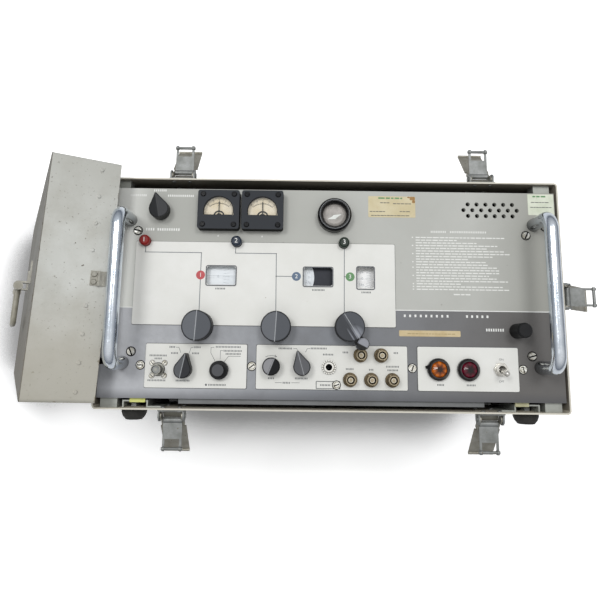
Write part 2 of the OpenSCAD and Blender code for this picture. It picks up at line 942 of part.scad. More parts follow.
module meter_cases() {
    color([0.10, 0.10, 0.11])
        at_panel()
            for (p = meter_p)
                at(p)
                    difference() {
                        union() {
                            round_box(meter_w, meter_h, meter_t, 2.5);
                            translate([0, 0, -meter_back])
                                cylinder(d = meter_body_d, h = meter_back + cut);
                        }
                        translate([0, 0, meter_scale_z])
                            meter_window(meter_low, meter_cavity);
                        translate([0, 0, meter_glass_z - cut])
                            meter_window(meter_win_low, meter_t);
                        translate([0, needle_y, -6])
                            cylinder(r = needle_staff_r + run_fit, h = meter_t);
                        for (sx = [-1, 1])
                            for (sy = [-1, 1])
                                translate([sx * meter_screw, sy * meter_screw, -cut])
                                    cylinder(r = meter_screw_r, h = meter_t + 2 * cut);
                    }
}

module meter_scales() {
    color([0.90, 0.82, 0.66])
        at_panel()
            for (p = meter_p)
                translate([p[0], p[1], meter_scale_z])
                    difference() {
                        meter_window(meter_low, meter_scale_t);
                        translate([0, needle_y, -cut])
                            cylinder(r = needle_staff_r + run_fit, h = 3 * cut);
                    }
}

module meter_glasses() {
    color([0.80, 0.85, 0.88])
        at_panel()
            for (p = meter_p)
                translate([p[0], p[1], meter_glass_z])
                    meter_window(meter_win_low, meter_glass_t);
}

module meter_needle(i) {
    z = meter_scale_z + meter_scale_t;
    color([0.08, 0.08, 0.08])
        at_panel()
            translate([meter_p[i][0], meter_p[i][1] + needle_y, z + 1]) {
                cylinder(r = 2.6, h = 1.4);
                translate([0, 0, -z - 5])
                    cylinder(r = needle_staff_r, h = z + 5.5);
                translate([-0.45, 0, 0.3])
                    cube([0.9, needle_l, 0.8]);
                translate([-0.6, -4, 0.3])
                    cube([1.2, 4, 0.8]);
            }
}

module eye_bezel() {
    color([0.07, 0.07, 0.07])
        at_panel()
            at(eye_p)
                difference() {
                    union() {
                        cylinder(d = eye_d, h = eye_h - 3);
                        translate([0, 0, eye_h - 3])
                            cylinder(d1 = eye_d, d2 = eye_d - 5, h = 3);
                        translate([0, 0, back_z])
                            cylinder(r = eye_tube_d / 2 + 1.5, h = panel_t + cut);
                    }
                    translate([0, 0, back_z - cut])
                        cylinder(d = eye_tube_d, h = panel_t + eye_h + 2 * cut);
                    translate([0, 0, eye_h - 3])
                        cylinder(d1 = eye_tube_d, d2 = eye_tube_d + 4, h = 3.01);
                }
}

module eye_tube() {
    color([0.45, 0.50, 0.48])
        at_panel()
            at(eye_p) {
                translate([0, 0, back_z - 60])
                    cylinder(d = eye_tube_d, h = 66 + panel_t);
                translate([0, 0, 6])
                    cylinder(d1 = eye_tube_d, d2 = eye_tube_d - 6, h = 1.6);
            }
}

module lamp_bezels() {
    color([0.08, 0.08, 0.08])
        at_panel()
            for (p = lamp_p)
                at(p)
                    difference() {
                        union() {
                            translate([0, 0, plate_t])
                                cylinder(d = lamp_d, h = 4);
                            translate([0, 0, plate_t + 4])
                                cylinder(d1 = lamp_d, d2 = lamp_d - 4, h = 2.5);
                            translate([0, 0, back_z - 22])
                                cylinder(r = 6.4, h = 22 + panel_t + plate_t + cut);
                        }
                        translate([0, 0, plate_t + 2])
                            cylinder(d = lamp_lens_d, h = 10);
                    }
}

module lamp_lens(p) {
    at_panel()
        at(p) {
            translate([0, 0, plate_t + 2])
                cylinder(d = lamp_lens_d, h = 4.5);
            translate([0, 0, plate_t + 6.5])
                intersection() {
                    translate([0, 0, -8])
                        sphere(r = norm([lamp_lens_d / 2, 8]));
                    cylinder(d = lamp_lens_d, h = 10);
                }
        }
}

module lamp_lens_amber() {
    color([0.78, 0.37, 0.08])
        lamp_lens(lamp_p[0]);
}

module lamp_lens_red() {
    color([0.36, 0.05, 0.12])
        lamp_lens(lamp_p[1]);
}

module power_switch() {
    color([0.62, 0.62, 0.60])
        at_panel()
            at(switch_p)
                difference() {
                    union() {
                        translate([0, 0, back_z - 1])
                            cylinder(d = switch_d, h = panel_t + plate_t + 7.5);
                        translate([0, 0, plate_t])
                            cylinder(r = 7.6, h = 2.4, $fn = 6);
                        translate([-8, -14, back_z - 22])
                            cube([16, 28, 22]);
                    }
                    translate([0, 0, switch_pivot])
                        cylinder(r1 = 3.4, r2 = 4.8, h = 10);
                    translate([0, 0, switch_pivot - 9])
                        cylinder(r = 3.4, h = 9.01);
                    translate([0, 0, switch_pivot])
                        rotate([0, 90, 0])
                            cylinder(r = 1 + run_fit, h = 10.4, center = true);
                }
}

module switch_lever() {
    color([0.72, 0.72, 0.70])
        at_panel()
            at(switch_p)
                translate([0, 0, switch_pivot])
                    rotate([switch_angle, 0, 0]) {
                        translate([0, 0, -7])
                            cylinder(r1 = 1.2, r2 = 1.9, h = 7);
                        cylinder(r1 = 1.9, r2 = 2.9, h = switch_lever_l - 2.6);
                        translate([0, 0, switch_lever_l - 2.9])
                            sphere(r = 2.9);
                        rotate([0, 90, 0])
                            cylinder(r = 1, h = 9.6, center = true);
                    }
}

module coax_jack(nut_d, nut_h) {
    difference() {
        union() {
            translate([0, 0, back_z - 12])
                cylinder(d = jack_d, h = 12 + panel_t + plate_t + jack_h);
            translate([0, 0, plate_t])
                cylinder(d = nut_d, h = nut_h);
            translate([0, 0, plate_t + jack_h - 4])
                rotate([90, 0, 30])
                    cylinder(r = 1, h = jack_d + 2, center = true);
        }
        translate([0, 0, plate_t + 1])
            difference() {
                cylinder(d = jack_d - 1.6, h = jack_h);
                translate([0, 0, -cut])
                    cylinder(r = 1.6, h = jack_h - 2 + cut);
            }
    }
}

module coax_jacks() {
    color([0.74, 0.73, 0.68])
        at_panel() {
            for (p = jack_p)
                at(p)
                    coax_jack(jack_nut_d, jack_nut_h);
            at(input_p)
                coax_jack(jack_d + 3, jack_nut_h - 1);
        }
}

module phones_jack() {
    color([0.70, 0.70, 0.68])
        at_panel()
            at(phones_p)
                difference() {
                    union() {
                        translate([0, 0, plate_t])
                            cylinder(d = phones_d, h = 2.6);
                        translate([0, 0, plate_t + 2.6])
                            cylinder(d1 = phones_d - 2, d2 = phones_bore + 3, h = 1.4);
                        translate([0, 0, plate_t + 4 - phones_depth - 3])
                            cylinder(r = phones_bore / 2 + 1.5, h = phones_depth + 3 - cut);
                    }
                    translate([0, 0, plate_t + 4 - phones_depth])
                        cylinder(d = phones_bore, h = phones_depth + cut);
                }
}

module speaker() {
    color([0.20, 0.20, 0.20])
        at_panel()
            at(speaker_p) {
                translate([0, 0, back_z - 3])
                    difference() {
                        cylinder(r = speaker_frame_r, h = 3);
                        translate([0, 0, -cut])
                            cylinder(r = speaker_frame_r - 4, h = 3 + 2 * cut);
                    }
                translate([0, 0, back_z - 18])
                    difference() {
                        cylinder(r1 = 12, r2 = speaker_frame_r - 1, h = 16);
                        translate([0, 0, 1.5])
                            cylinder(r1 = 10.5, r2 = speaker_frame_r - 2.5, h = 16);
                    }
                translate([0, 0, back_z - 32])
                    cylinder(r = 14, h = 15);
            }
}

module chassis() {
    color([0.58, 0.59, 0.58])
        at_panel() {
            translate([-lip_x, deck_y, back_z - deck_front])
                cube([2 * lip_x, deck_t, deck_front]);
            translate([-lip_x, deck_y, back_z - deck_t])
                cube([2 * lip_x, lip_h, deck_t]);
            translate([-deck_x, deck_y, back_z - deck_d])
                cube([2 * deck_x, deck_t, deck_d - deck_front + cut]);
            for (x = [-deck_x, deck_x - deck_t])
                translate([x, deck_y, back_z - deck_d])
                    cube([deck_t, 170, deck_d - side_z]);
            translate([-deck_x, deck_y, back_z - deck_d])
                cube([2 * deck_x, 150, deck_t]);
        }
}

// Closed can or box standing on the chassis deck
module on_deck(x, z) {
    translate([x, deck_y + deck_t, z])
        rotate([-90, 0, 0])
            children();
}

module inner_units() {
    box_h = 108;
    color([0.50, 0.51, 0.50])
        at_panel() {
            for (p = [tune_1, tune_2, crank_p])
                difference() {
                    translate([p[0] - box_w / 2, deck_y + deck_t, back_z - box_z - box_d])
                        cube([box_w, box_h, box_d]);
                    translate([p[0], p[1], back_z - box_z - 14])
                        cylinder(d = shaft_d + 2 * run_fit, h = 14 + cut);
                }
            on_deck(110, back_z - 250)
                translate([-45, -40, 0])
                    cube([90, 80, 96]);
            on_deck(20, back_z - 260)
                cylinder(d = 50, h = 86);
            for (i = [0:4])
                on_deck(-145 + 33 * i, back_z - 190 - 40 * (i % 2)) {
                    cylinder(d = 28, h = 12);
                    cylinder(d = 22, h = 62);
                }
            for (p = [lock_p, range_p, atten_p, gain_p, audio_p, reset_p])
                at(p)
                    difference() {
                        translate([0, 0, back_z - pot_d])
                            cylinder(r = pot_r, h = pot_d);
                        translate([0, 0, back_z - 16])
                            cylinder(d = shaft_d + 2 * run_fit, h = 16 + cut);
                    }
        }
}

// Long roof shape w wide and h high over the panel, with its ridge along y
module gable(w, h, l) {
    rotate([90, 0, 0])
        linear_extrude(height = l, center = true)
            polygon([
                [-w / 2 - 1, knob_lift],
                [w / 2 + 1, knob_lift],
                [w / 2 + 1, knob_lift + h * eave_share],
                [ridge_w / 2, knob_lift + h],
                [-ridge_w / 2, knob_lift + h],
                [-w / 2 - 1, knob_lift + h * eave_share]
            ]);
}

// Round knob with a gabled top and its shaft; depth is how far the shaft goes behind the panel
module gable_knob(d, h, turn, depth) {
    intersection() {
        translate([0, 0, knob_lift])
            cylinder(d = d, h = h);
        rotate(turn)
            gable(d, h, d + 2);
    }
    translate([0, 0, back_z - depth])
        cylinder(d = shaft_d, h = depth + panel_t + knob_lift + 1);
}

// Two washers on a tuning shaft that grip the rim of a dial
module pinch_drive(r, front_z) {
    translate([0, 0, front_z + pinch_gap])
        cylinder(r = r + pinch_grip, h = pinch_t);
    translate([0, 0, front_z - disc_t - pinch_gap - pinch_t])
        cylinder(r = r + pinch_grip, h = pinch_t);
}

module tuning_knob_1() {
    color([0.20, 0.21, 0.22])
        at_panel()
            at(tune_1) {
                gable_knob(tuning_d, tuning_h, tuning_turn, box_z + 10);
                pinch_drive(drive_1_r, disc_z);
            }
}

module tuning_knob_2() {
    color([0.20, 0.21, 0.22])
        at_panel()
            at(tune_2) {
                gable_knob(tuning_d, tuning_h, tuning_turn, box_z + 10);
                pinch_drive(drive_2_r, disc_z);
            }
}

module crank() {
    color([0.20, 0.21, 0.22])
        at_panel()
            at(crank_p) {
                gable_knob(crank_d, crank_h, crank_turn - 90, box_z + 10);
                rotate(crank_turn) {
                    translate([0, -5, knob_lift + crank_h - 6])
                        cube([spinner_r, 10, 5]);
                    translate([spinner_r, 0, knob_lift + crank_h - 6])
                        cylinder(r = 6, h = 5);
                    translate([spinner_r, 0, knob_lift + crank_h - 2])
                        cylinder(r = 2, h = spinner_h - 2.5);
                }
                pinch_drive(drive_3_r, disc3_z);
            }
}

module crank_spinner() {
    color([0.16, 0.17, 0.18])
        at_panel()
            at(crank_p)
                rotate(crank_turn)
                    translate([spinner_r, 0, knob_lift + crank_h - 1 + body_gap])
                        difference() {
                            union() {
                                cylinder(d1 = spinner_d - 3, d2 = spinner_d, h = spinner_h - 4);
                                translate([0, 0, spinner_h - 4])
                                    cylinder(d1 = spinner_d, d2 = spinner_d - 3, h = 4);
                            }
                            translate([0, 0, -cut])
                                cylinder(r = 2 + run_fit, h = spinner_h - 2 + cut);
                        }
}

module dial(p, r, front_z) {
    color([0.90, 0.92, 0.93])
        at_panel()
            at(p)
                translate([0, 0, front_z - disc_t])
                    difference() {
                        cylinder(r = r, h = disc_t);
                        translate([0, 0, -cut])
                            cylinder(r = dial_post_d / 2 + run_fit, h = disc_t + 2 * cut);
                    }
}

// Teardrop knob: round body and a pointer to its tip under a gabled top, on its shaft
module pointer_knob(d, turn) {
    rotate(turn)
        intersection() {
            translate([0, 0, knob_lift]) {
                cylinder(d = d, h = pointer_h);
                linear_extrude(height = pointer_h)
                    polygon([
                        [-d * 0.44, d * 0.22],
                        [d * 0.44, d * 0.22],
                        [ridge_w / 2, pointer_l],
                        [-ridge_w / 2, pointer_l]
                    ]);
            }
            gable(d, pointer_h, 3 * pointer_l);
        }
    translate([0, 0, back_z - 14])
        cylinder(d = shaft_d, h = 14 + panel_t + knob_lift + 1);
}

module lock_knob() {
    color([0.14, 0.14, 0.15])
        at_panel()
            at(lock_p)
                pointer_knob(lock_knob_d, lock_turn);
}

module range_knob() {
    color([0.14, 0.14, 0.15])
        at_panel()
            at(range_p)
                pointer_knob(pointer_d, range_turn);
}

module audio_knob() {
    color([0.14, 0.14, 0.15])
        at_panel()
            at(audio_p)
                pointer_knob(pointer_d, audio_turn);
}

module attenuator_knob() {
    color([0.16, 0.16, 0.17])
        at_panel()
            at(atten_p) {
                translate([0, 0, knob_lift])
                    cylinder(d = small_knob_d + 1, h = small_knob_h * 0.45);
                translate([0, 0, knob_lift])
                    cylinder(d1 = small_knob_d * 0.72, d2 = small_knob_d * 0.66, h = small_knob_h);
                translate([0, 0, back_z - 14])
                    cylinder(d = shaft_d, h = 14 + panel_t + knob_lift + 1);
            }
}

module gain_knob() {
    color([0.16, 0.16, 0.17])
        at_panel()
            at(gain_p)
                gable_knob(small_knob_d, small_knob_h, gain_turn, 14);
}

module reset_knob() {
    color([0.05, 0.05, 0.05])
        at_panel()
            at(reset_p) {
                translate([0, 0, body_gap]) {
                    cylinder(d = reset_knob_d, h = reset_knob_h - 2 - body_gap);
                    translate([0, 0, reset_knob_h - 2 - body_gap])
                        cylinder(d1 = reset_knob_d, d2 = reset_knob_d - 2.4, h = 2);
                }
                translate([0, 0, back_z - 14])
                    cylinder(d = shaft_d, h = 14 + panel_t + body_gap + 1);
            }
}

module lock_button(i) {
    tints = [[0.60, 0.10, 0.10], [0.10, 0.13, 0.24], [0.06, 0.18, 0.12]];
    tail_z = back_z - body_gap - button_collar;
    color(tints[i])
        at_panel()
            at(button_p[i]) {
                translate([0, 0, tail_z])
                    cylinder(d = button_d + 2, h = button_collar);
                translate([0, 0, tail_z])
                    cylinder(d = button_d, h = button_h - button_chamfer - tail_z);
                translate([0, 0, button_h - button_chamfer])
                    cylinder(d1 = button_d, d2 = button_d - 2 * button_chamfer, h = button_chamfer);
            }
}

case_shell();
case_feet();
case_fasteners();
case_rails();
latch_bases();
latch_lever(0);  // latch_lever_1
latch_lever(1);  // latch_lever_2
latch_lever(2);  // latch_lever_3
latch_lever(3);  // latch_lever_4
latch_lever(4);  // latch_lever_5
latch_lever(5);  // latch_lever_6
latch_link(0);  // latch_link_1
latch_link(1);  // latch_link_2
latch_link(2);  // latch_link_3
latch_link(3);  // latch_link_4
latch_link(4);  // latch_link_5
latch_link(5);  // latch_link_6
lid_shell();
lid_gasket();
lid_brackets();
lid_rivets();
lid_handle();
front_panel();
dial_plate();
control_plates();
rack_handles();
panel_screws();
meter_cases();
meter_scales();
meter_glasses();
meter_needle(0);  // meter_needle_1
meter_needle(1);  // meter_needle_2
eye_bezel();
eye_tube();
lamp_bezels();
lamp_lens_amber();
lamp_lens_red();
power_switch();
switch_lever();
coax_jacks();
phones_jack();
speaker();
chassis();
inner_units();
tuning_knob_1();
tuning_knob_2();
crank();
crank_spinner();
dial(dial_1_p, dial_r, disc_z);  // dial_1
dial(dial_2_p, dial_r, disc_z);  // dial_2
dial(dial_3_p, dial3_r, disc3_z);  // dial_3
lock_knob();
range_knob();
attenuator_knob();
gain_knob();
audio_knob();
reset_knob();
lock_button(0);  // lock_button_1
lock_button(1);  // lock_button_2
lock_button(2);  // lock_button_3
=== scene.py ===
import math
import bmesh
import bpy
from mathutils import Matrix, Vector


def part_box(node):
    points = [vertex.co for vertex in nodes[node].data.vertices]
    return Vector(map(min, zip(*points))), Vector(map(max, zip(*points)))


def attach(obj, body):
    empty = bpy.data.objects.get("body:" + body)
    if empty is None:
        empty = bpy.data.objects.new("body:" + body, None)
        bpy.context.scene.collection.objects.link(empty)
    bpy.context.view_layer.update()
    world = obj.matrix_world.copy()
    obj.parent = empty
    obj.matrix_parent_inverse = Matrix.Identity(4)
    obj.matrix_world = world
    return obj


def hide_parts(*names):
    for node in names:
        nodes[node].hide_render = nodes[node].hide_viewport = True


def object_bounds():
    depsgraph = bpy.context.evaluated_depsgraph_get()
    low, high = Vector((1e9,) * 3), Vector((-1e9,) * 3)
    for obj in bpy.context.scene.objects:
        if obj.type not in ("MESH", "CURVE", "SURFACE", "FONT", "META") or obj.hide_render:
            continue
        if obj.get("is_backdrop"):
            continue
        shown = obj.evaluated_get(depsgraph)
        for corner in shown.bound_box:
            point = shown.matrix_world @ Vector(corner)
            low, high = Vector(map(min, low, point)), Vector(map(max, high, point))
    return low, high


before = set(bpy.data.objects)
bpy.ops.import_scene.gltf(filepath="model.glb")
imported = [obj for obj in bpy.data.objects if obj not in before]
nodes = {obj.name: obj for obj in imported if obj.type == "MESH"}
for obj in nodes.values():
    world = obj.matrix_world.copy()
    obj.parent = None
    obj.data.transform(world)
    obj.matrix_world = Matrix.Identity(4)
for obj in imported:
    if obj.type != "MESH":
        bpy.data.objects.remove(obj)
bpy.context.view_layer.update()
mm = 0.001
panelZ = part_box("front_panel")[1].z / mm      # panel face, height over the floor


# Top of a CAD node in mm over the panel face
def topOf(node):
    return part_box(node)[1].z / mm - panelZ


plateTop = topOf("dial_plate")
made = {}                                     # every material by its name
print("frame loaded,", len(nodes), "nodes, panel face at", round(panelZ, 2), "mm")


def hexColor(text):
    parts = [int(text[i:i + 2], 16) / 255 for i in (0, 2, 4)]
    return tuple(c / 12.92 if c <= 0.04045 else ((c + 0.055) / 1.055) ** 2.4 for c in parts) + (1.0,)


# A link is a socket, a node (its first live output), a hex colour or a plain value
def addNode(tree, kind, links=None, **settings):
    node = tree.nodes.new("ShaderNode" + kind)
    for name, value in settings.items():
        setattr(node, name, value)
    for key, value in (links or {}).items():
        if isinstance(value, bpy.types.Node):
            value = next(out for out in value.outputs if out.enabled)
        if isinstance(value, bpy.types.NodeSocket):
            tree.links.new(value, node.inputs[key])
        else:
            node.inputs[key].default_value = hexColor(value) if isinstance(value, str) else value
    return node


# Lay another colour over a finish, by a share from 0 to 1
def paintOver(finish, share, color):
    mixed = addNode(finish["tree"], "Mix", {0: share, 6: finish["color"], 7: color}, data_type="RGBA")
    finish["color"] = mixed.outputs[2]
    finish["tree"].links.new(finish["color"], finish["shader"].inputs["Base Color"])


# A mask that is 1 where every test holds: a value, how it compares and its limit
def allOf(tree, *tests):
    mask = 1.0
    for value, comparison, limit in tests:
        test = addNode(tree, "Math", {0: value, 1: limit}, operation=comparison)
        mask = addNode(tree, "Math", {0: mask, 1: test}, operation="MULTIPLY")
    return mask


# Distance from a point of the panel, whatever the height
def awayFrom(tree, place, x, y):
    flat = addNode(tree, "VectorMath", {0: place, 1: (1, 1, 0)}, operation="MULTIPLY")
    return addNode(tree, "VectorMath", {0: flat, 1: (x * mm, y * mm, 0)}, operation="DISTANCE")


# Every finish starts here: patches of two close shades, specks, and a fine grain in the bump and the gloss
def makeFinish(name, look):
    material = made[name] = bpy.data.materials.new(name)
    material.use_nodes = True
    tree = material.node_tree
    shader = tree.nodes["Principled BSDF"]
    shader.inputs["Metallic"].default_value = look.get("metallic", 0.0)
    shader.inputs["IOR"].default_value = look.get("ior", 1.5)
    place = addNode(tree, "TexCoord").outputs["Object"]
    finish = {"tree": tree, "shader": shader, "place": place, "color": look["color"]}
    patches = addNode(tree, "TexNoise", {
        "Vector": place, "Scale": 1000 / look["patch"], "Detail": 5.0, "Roughness": 0.62})
    spread = addNode(tree, "MapRange", {"Value": patches, "From Min": 0.32, "From Max": 0.68})
    paintOver(finish, spread, look["shade"])
    if "speck" in look:
        spots = addNode(tree, "TexNoise", {
            "Vector": place, "Scale": 1000 / look["speckSize"], "Detail": 2.0, "Roughness": 0.5})
        hits = addNode(tree, "MapRange", {
            "Value": spots, "From Min": look["speckFrom"], "From Max": look["speckFrom"] + 0.04})
        paintOver(finish, hits, look["speck"])
    grain = addNode(tree, "TexNoise", {
        "Vector": place, "Scale": 1000 / look["grain"], "Detail": 3.0, "Roughness": 0.6})
    roughSpread = look.get("roughSpread", 0.05)
    rough = addNode(tree, "MapRange", {
        "Value": grain, "From Min": 0.3, "From Max": 0.7,
        "To Min": look["rough"] - roughSpread, "To Max": look["rough"] + roughSpread})
    bump = addNode(tree, "Bump", {
        "Strength": look["bump"], "Distance": look.get("depth", 0.2) * mm, "Height": grain})
    tree.links.new(rough.outputs["Result"], shader.inputs["Roughness"])
    tree.links.new(bump.outputs["Normal"], shader.inputs["Normal"])
    return finish


# Distance from the nearest edge of a box, for a point on its surface: the middle one of the three depths
def edgeDepth(tree, local, half):
    size = addNode(tree, "VectorMath", {0: local}, operation="ABSOLUTE")
    depth = addNode(tree, "VectorMath", {0: half, 1: size}, operation="SUBTRACT")
    x, y, z = addNode(tree, "SeparateXYZ", {0: depth}).outputs
    low = addNode(tree, "Math", {0: x, 1: y}, operation="MINIMUM")
    high = addNode(tree, "Math", {0: x, 1: y}, operation="MAXIMUM")
    rest = addNode(tree, "Math", {0: high, 1: z}, operation="MINIMUM")
    return addNode(tree, "Math", {0: low, 1: rest}, operation="MAXIMUM")


# Old grey enamel on steel sheet, sprayed: satin, with stains, scratches, dark specks and chips along the edges
def wornEnamel(name, look, turn, shift, half):
    finish = makeFinish(name, look)
    tree = finish["tree"]
    local = addNode(tree, "Mapping", {"Vector": finish["place"], "Location": shift, "Rotation": turn})
    stain = addNode(tree, "TexNoise", {
        "Vector": local, "Scale": 1000 / look["stainSize"], "Detail": 7.0, "Roughness": 0.68})
    paintOver(finish, addNode(tree, "MapRange", {
        "Value": stain, "From Min": 0.46, "From Max": 0.72, "To Max": look["stainAmount"]}), look["stain"])
    streak = addNode(tree, "Mapping", {
        "Vector": local, "Rotation": (0.3, 0.2, 0.5), "Scale": (14.0, 420.0, 420.0)})
    scratch = addNode(tree, "TexNoise", {"Vector": streak, "Scale": 1.0, "Detail": 2.0, "Roughness": 0.5})
    paintOver(finish, addNode(tree, "MapRange", {
        "Value": scratch, "From Min": 0.67, "From Max": 0.73, "To Max": look["scratchAmount"]}), look["scratch"])
    chipNoise = addNode(tree, "TexNoise", {
        "Vector": local, "Scale": 1000 / look["chipSize"], "Detail": 5.0, "Roughness": 0.6})
    reach = addNode(tree, "MapRange", {
        "Value": chipNoise, "From Min": 0.42, "From Max": 0.78,
        "To Min": -1.5 * mm, "To Max": look["chipReach"] * mm})
    depth = edgeDepth(tree, local, half)
    paintOver(finish, addNode(tree, "Math", {0: depth, 1: reach}, operation="LESS_THAN"), look["chip"])
    finish["local"] = local
    return finish


enamelLook = {"color": "C6C4BC", "shade": "B9B7AD", "patch": 90, "grain": 1.6, "bump": 0.16, "depth": 0.3,
              "rough": 0.55, "roughSpread": 0.06, "ior": 1.42, "speck": "5A5347", "speckSize": 4.5,
              "speckFrom": 0.69, "stain": "8C8674", "stainSize": 80, "stainAmount": 0.62,
              "scratch": "6F695B", "scratchAmount": 0.3, "chip": "6B5F4F", "chipSize": 9, "chipReach": 4.0}
# Inside the case the paint is darker, a painted shade, and its low wall is painted paler again as painted light to
# make up for its shade; the top of the rim is painted paler, a painted highlight
caseShadeAndHighlight = {"inside": "8A8478", "lowWall": "CFC8B8", "lowDepth": 4, "skin": 1.2, "rim": "CFCBBE", "rimDepth": 0.8}
caseHalf = (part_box("case_shell")[1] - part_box("case_shell")[0]) / 2
casePaint = wornEnamel("wornGreyEnamel", enamelLook, (0, 0, 0), (0, 0, -caseHalf.z), caseHalf)
tree, skin = casePaint["tree"], caseShadeAndHighlight["skin"] * mm
caseY = addNode(tree, "SeparateXYZ", {0: casePaint["place"]}).outputs[1]
caseSize = addNode(tree, "VectorMath", {0: casePaint["place"]}, operation="ABSOLUTE")
caseAxes = addNode(tree, "SeparateXYZ", {0: caseSize}).outputs
# Painted shade inside the case, with painted light on the low wall
inside = allOf(tree, (caseAxes[0], "LESS_THAN", caseHalf.x - skin), (caseAxes[1], "LESS_THAN", caseHalf.y - skin),
               (caseAxes[2], "GREATER_THAN", skin))
lowWall = allOf(tree, (caseY, "LESS_THAN", caseShadeAndHighlight["lowDepth"] * mm - caseHalf.y))
insideTone = addNode(tree, "Mix", {0: lowWall, 6: caseShadeAndHighlight["inside"], 7: caseShadeAndHighlight["lowWall"]}, data_type="RGBA")
paintOver(casePaint, inside, insideTone)
# Painted highlight: the top of the rim is painted paler
rim = allOf(tree, (caseAxes[2], "GREATER_THAN", 2 * caseHalf.z - caseShadeAndHighlight["rimDepth"] * mm))
paintOver(casePaint, rim, caseShadeAndHighlight["rim"])

# The lid leans on the case, so its paint is turned to its own length, width and depth
lidPlace = {"origin": (-228.206, 7.3, 439.657), "length": (0.44102, -0.02080, 0.89726),
            "width": (0.04711, 0.99889, 0.0), "out": (-0.89626, 0.04227, 0.44151), "size": (490, 245, 68)}
lidLook = dict(enamelLook, color="D0D1CC", shade="C5C6C0", stainAmount=0.42, scratchAmount=0.7, speckFrom=0.735,
               chipReach=2.4)
# It is darker towards both ends of its width, and its broad front face is painted dark brown, a painted shade, and has
# a duller gloss
lidDarkeningAndGloss = {"ends": [(-15, -75, 0.62, "A39D8D"), (45, 112, 0.5, "A09F96")], "face": "49433A", "faceShare": 0.68,
           "faceDepth": 0.9, "gleam": 0.5, "faceGleam": 0.12}
lidSize = Vector(lidPlace["size"]) * mm
lidTurn = Matrix([lidPlace["length"], lidPlace["width"], lidPlace["out"]])
lidMiddle = Vector((-lidSize.x / 2, 0, lidSize.z / 2))
lidShift = -(lidTurn @ (Vector(lidPlace["origin"]) * mm)) - lidMiddle
lidPaint = wornEnamel("wornGreyEnamelLid", lidLook, lidTurn.to_euler(), lidShift, lidSize / 2)
tree = lidPaint["tree"]
lidAxes = addNode(tree, "SeparateXYZ", {0: lidPaint["local"]}).outputs
for start, end, share, darkening in lidDarkeningAndGloss["ends"]:
    paintOver(lidPaint, addNode(tree, "MapRange", {
        "Value": lidAxes[1], "From Min": start * mm, "From Max": end * mm, "To Max": share}), darkening)
# Painted shade: the broad front face is darkened to brown
lidFace = allOf(tree, (lidAxes[2], "GREATER_THAN", lidSize.z / 2 - lidDarkeningAndGloss["faceDepth"] * mm))
paintOver(lidPaint, addNode(tree, "Math", {0: lidFace, 1: lidDarkeningAndGloss["faceShare"]}, operation="MULTIPLY"),
          lidDarkeningAndGloss["face"])
lidGleam = addNode(tree, "MapRange", {
    "Value": lidFace, "To Min": lidDarkeningAndGloss["gleam"], "To Max": lidDarkeningAndGloss["faceGleam"]})
tree.links.new(lidGleam.outputs["Result"], lidPaint["shader"].inputs["Specular IOR Level"])

# Panel enamel, sprayed in two greys that meet on the divider: satin with a fine orange peel and faint smears
panelLook = {"color": "B9BAB5", "shade": "AFB0AA", "patch": 120, "grain": 0.9, "bump": 0.12, "rough": 0.52,
             "ior": 1.4, "speck": "95948D", "speckSize": 7, "speckFrom": 0.76, "divider": -18.2,
             "upperLeft": "DBDCD7", "upperDim": "AAABA5", "upperRight": "9C9C95",
             "lowerLeft": "B4B6BA", "lowerMiddle": "7F8287", "lowerRight": "646260",
             "smear": "585756", "smearSize": 60, "smearAmount": 0.45,
             "edge": "4C4D51", "edgeFrom": -101, "edgeTo": -110, "edgeAmount": 0.6}
panelPaint = makeFinish("twoGreyPanelEnamel", panelLook)
panelTree = panelPaint["tree"]
panelAxes = addNode(panelTree, "SeparateXYZ", {0: panelPaint["place"]}).outputs


# Blend from one colour to another between two places across the panel
def acrossPanel(x0, x1, first, second):
    share = addNode(panelTree, "MapRange", {"Value": panelAxes[0], "From Min": x0 * mm, "From Max": x1 * mm})
    return addNode(panelTree, "Mix", {0: share, 6: first, 7: second}, data_type="RGBA")


# Painted light across the panel: the upper zone is pale at the far left, a painted reflection of the handle, then
# darker left of the meters, and darkened towards the right handle as painted shade; the lower zone carries a painted
# sheen, light at the left and dark at the right
upperTone = acrossPanel(-222, -190, panelLook["upperLeft"], panelLook["upperDim"])
upperTone = acrossPanel(-160, 40, upperTone, panelPaint["color"])
upperTone = acrossPanel(150, 222, upperTone, panelLook["upperRight"])
lowerTone = acrossPanel(-185, -20, panelLook["lowerLeft"], panelLook["lowerMiddle"])
panelPaint["color"] = acrossPanel(10, 190, lowerTone, panelLook["lowerRight"])
smear = addNode(panelTree, "TexNoise", {
    "Vector": panelPaint["place"], "Scale": 1000 / panelLook["smearSize"], "Detail": 6.0, "Roughness": 0.7})
paintOver(panelPaint, addNode(panelTree, "MapRange", {
    "Value": smear, "From Min": 0.45, "From Max": 0.8, "To Max": panelLook["smearAmount"]}), panelLook["smear"])
paintOver(panelPaint, addNode(panelTree, "MapRange", {
    "Value": panelAxes[1], "From Min": panelLook["edgeFrom"] * mm, "From Max": panelLook["edgeTo"] * mm,
    "To Max": panelLook["edgeAmount"]}), panelLook["edge"])
paintOver(panelPaint, allOf(panelTree, (panelAxes[1], "GREATER_THAN", panelLook["divider"] * mm)), upperTone)

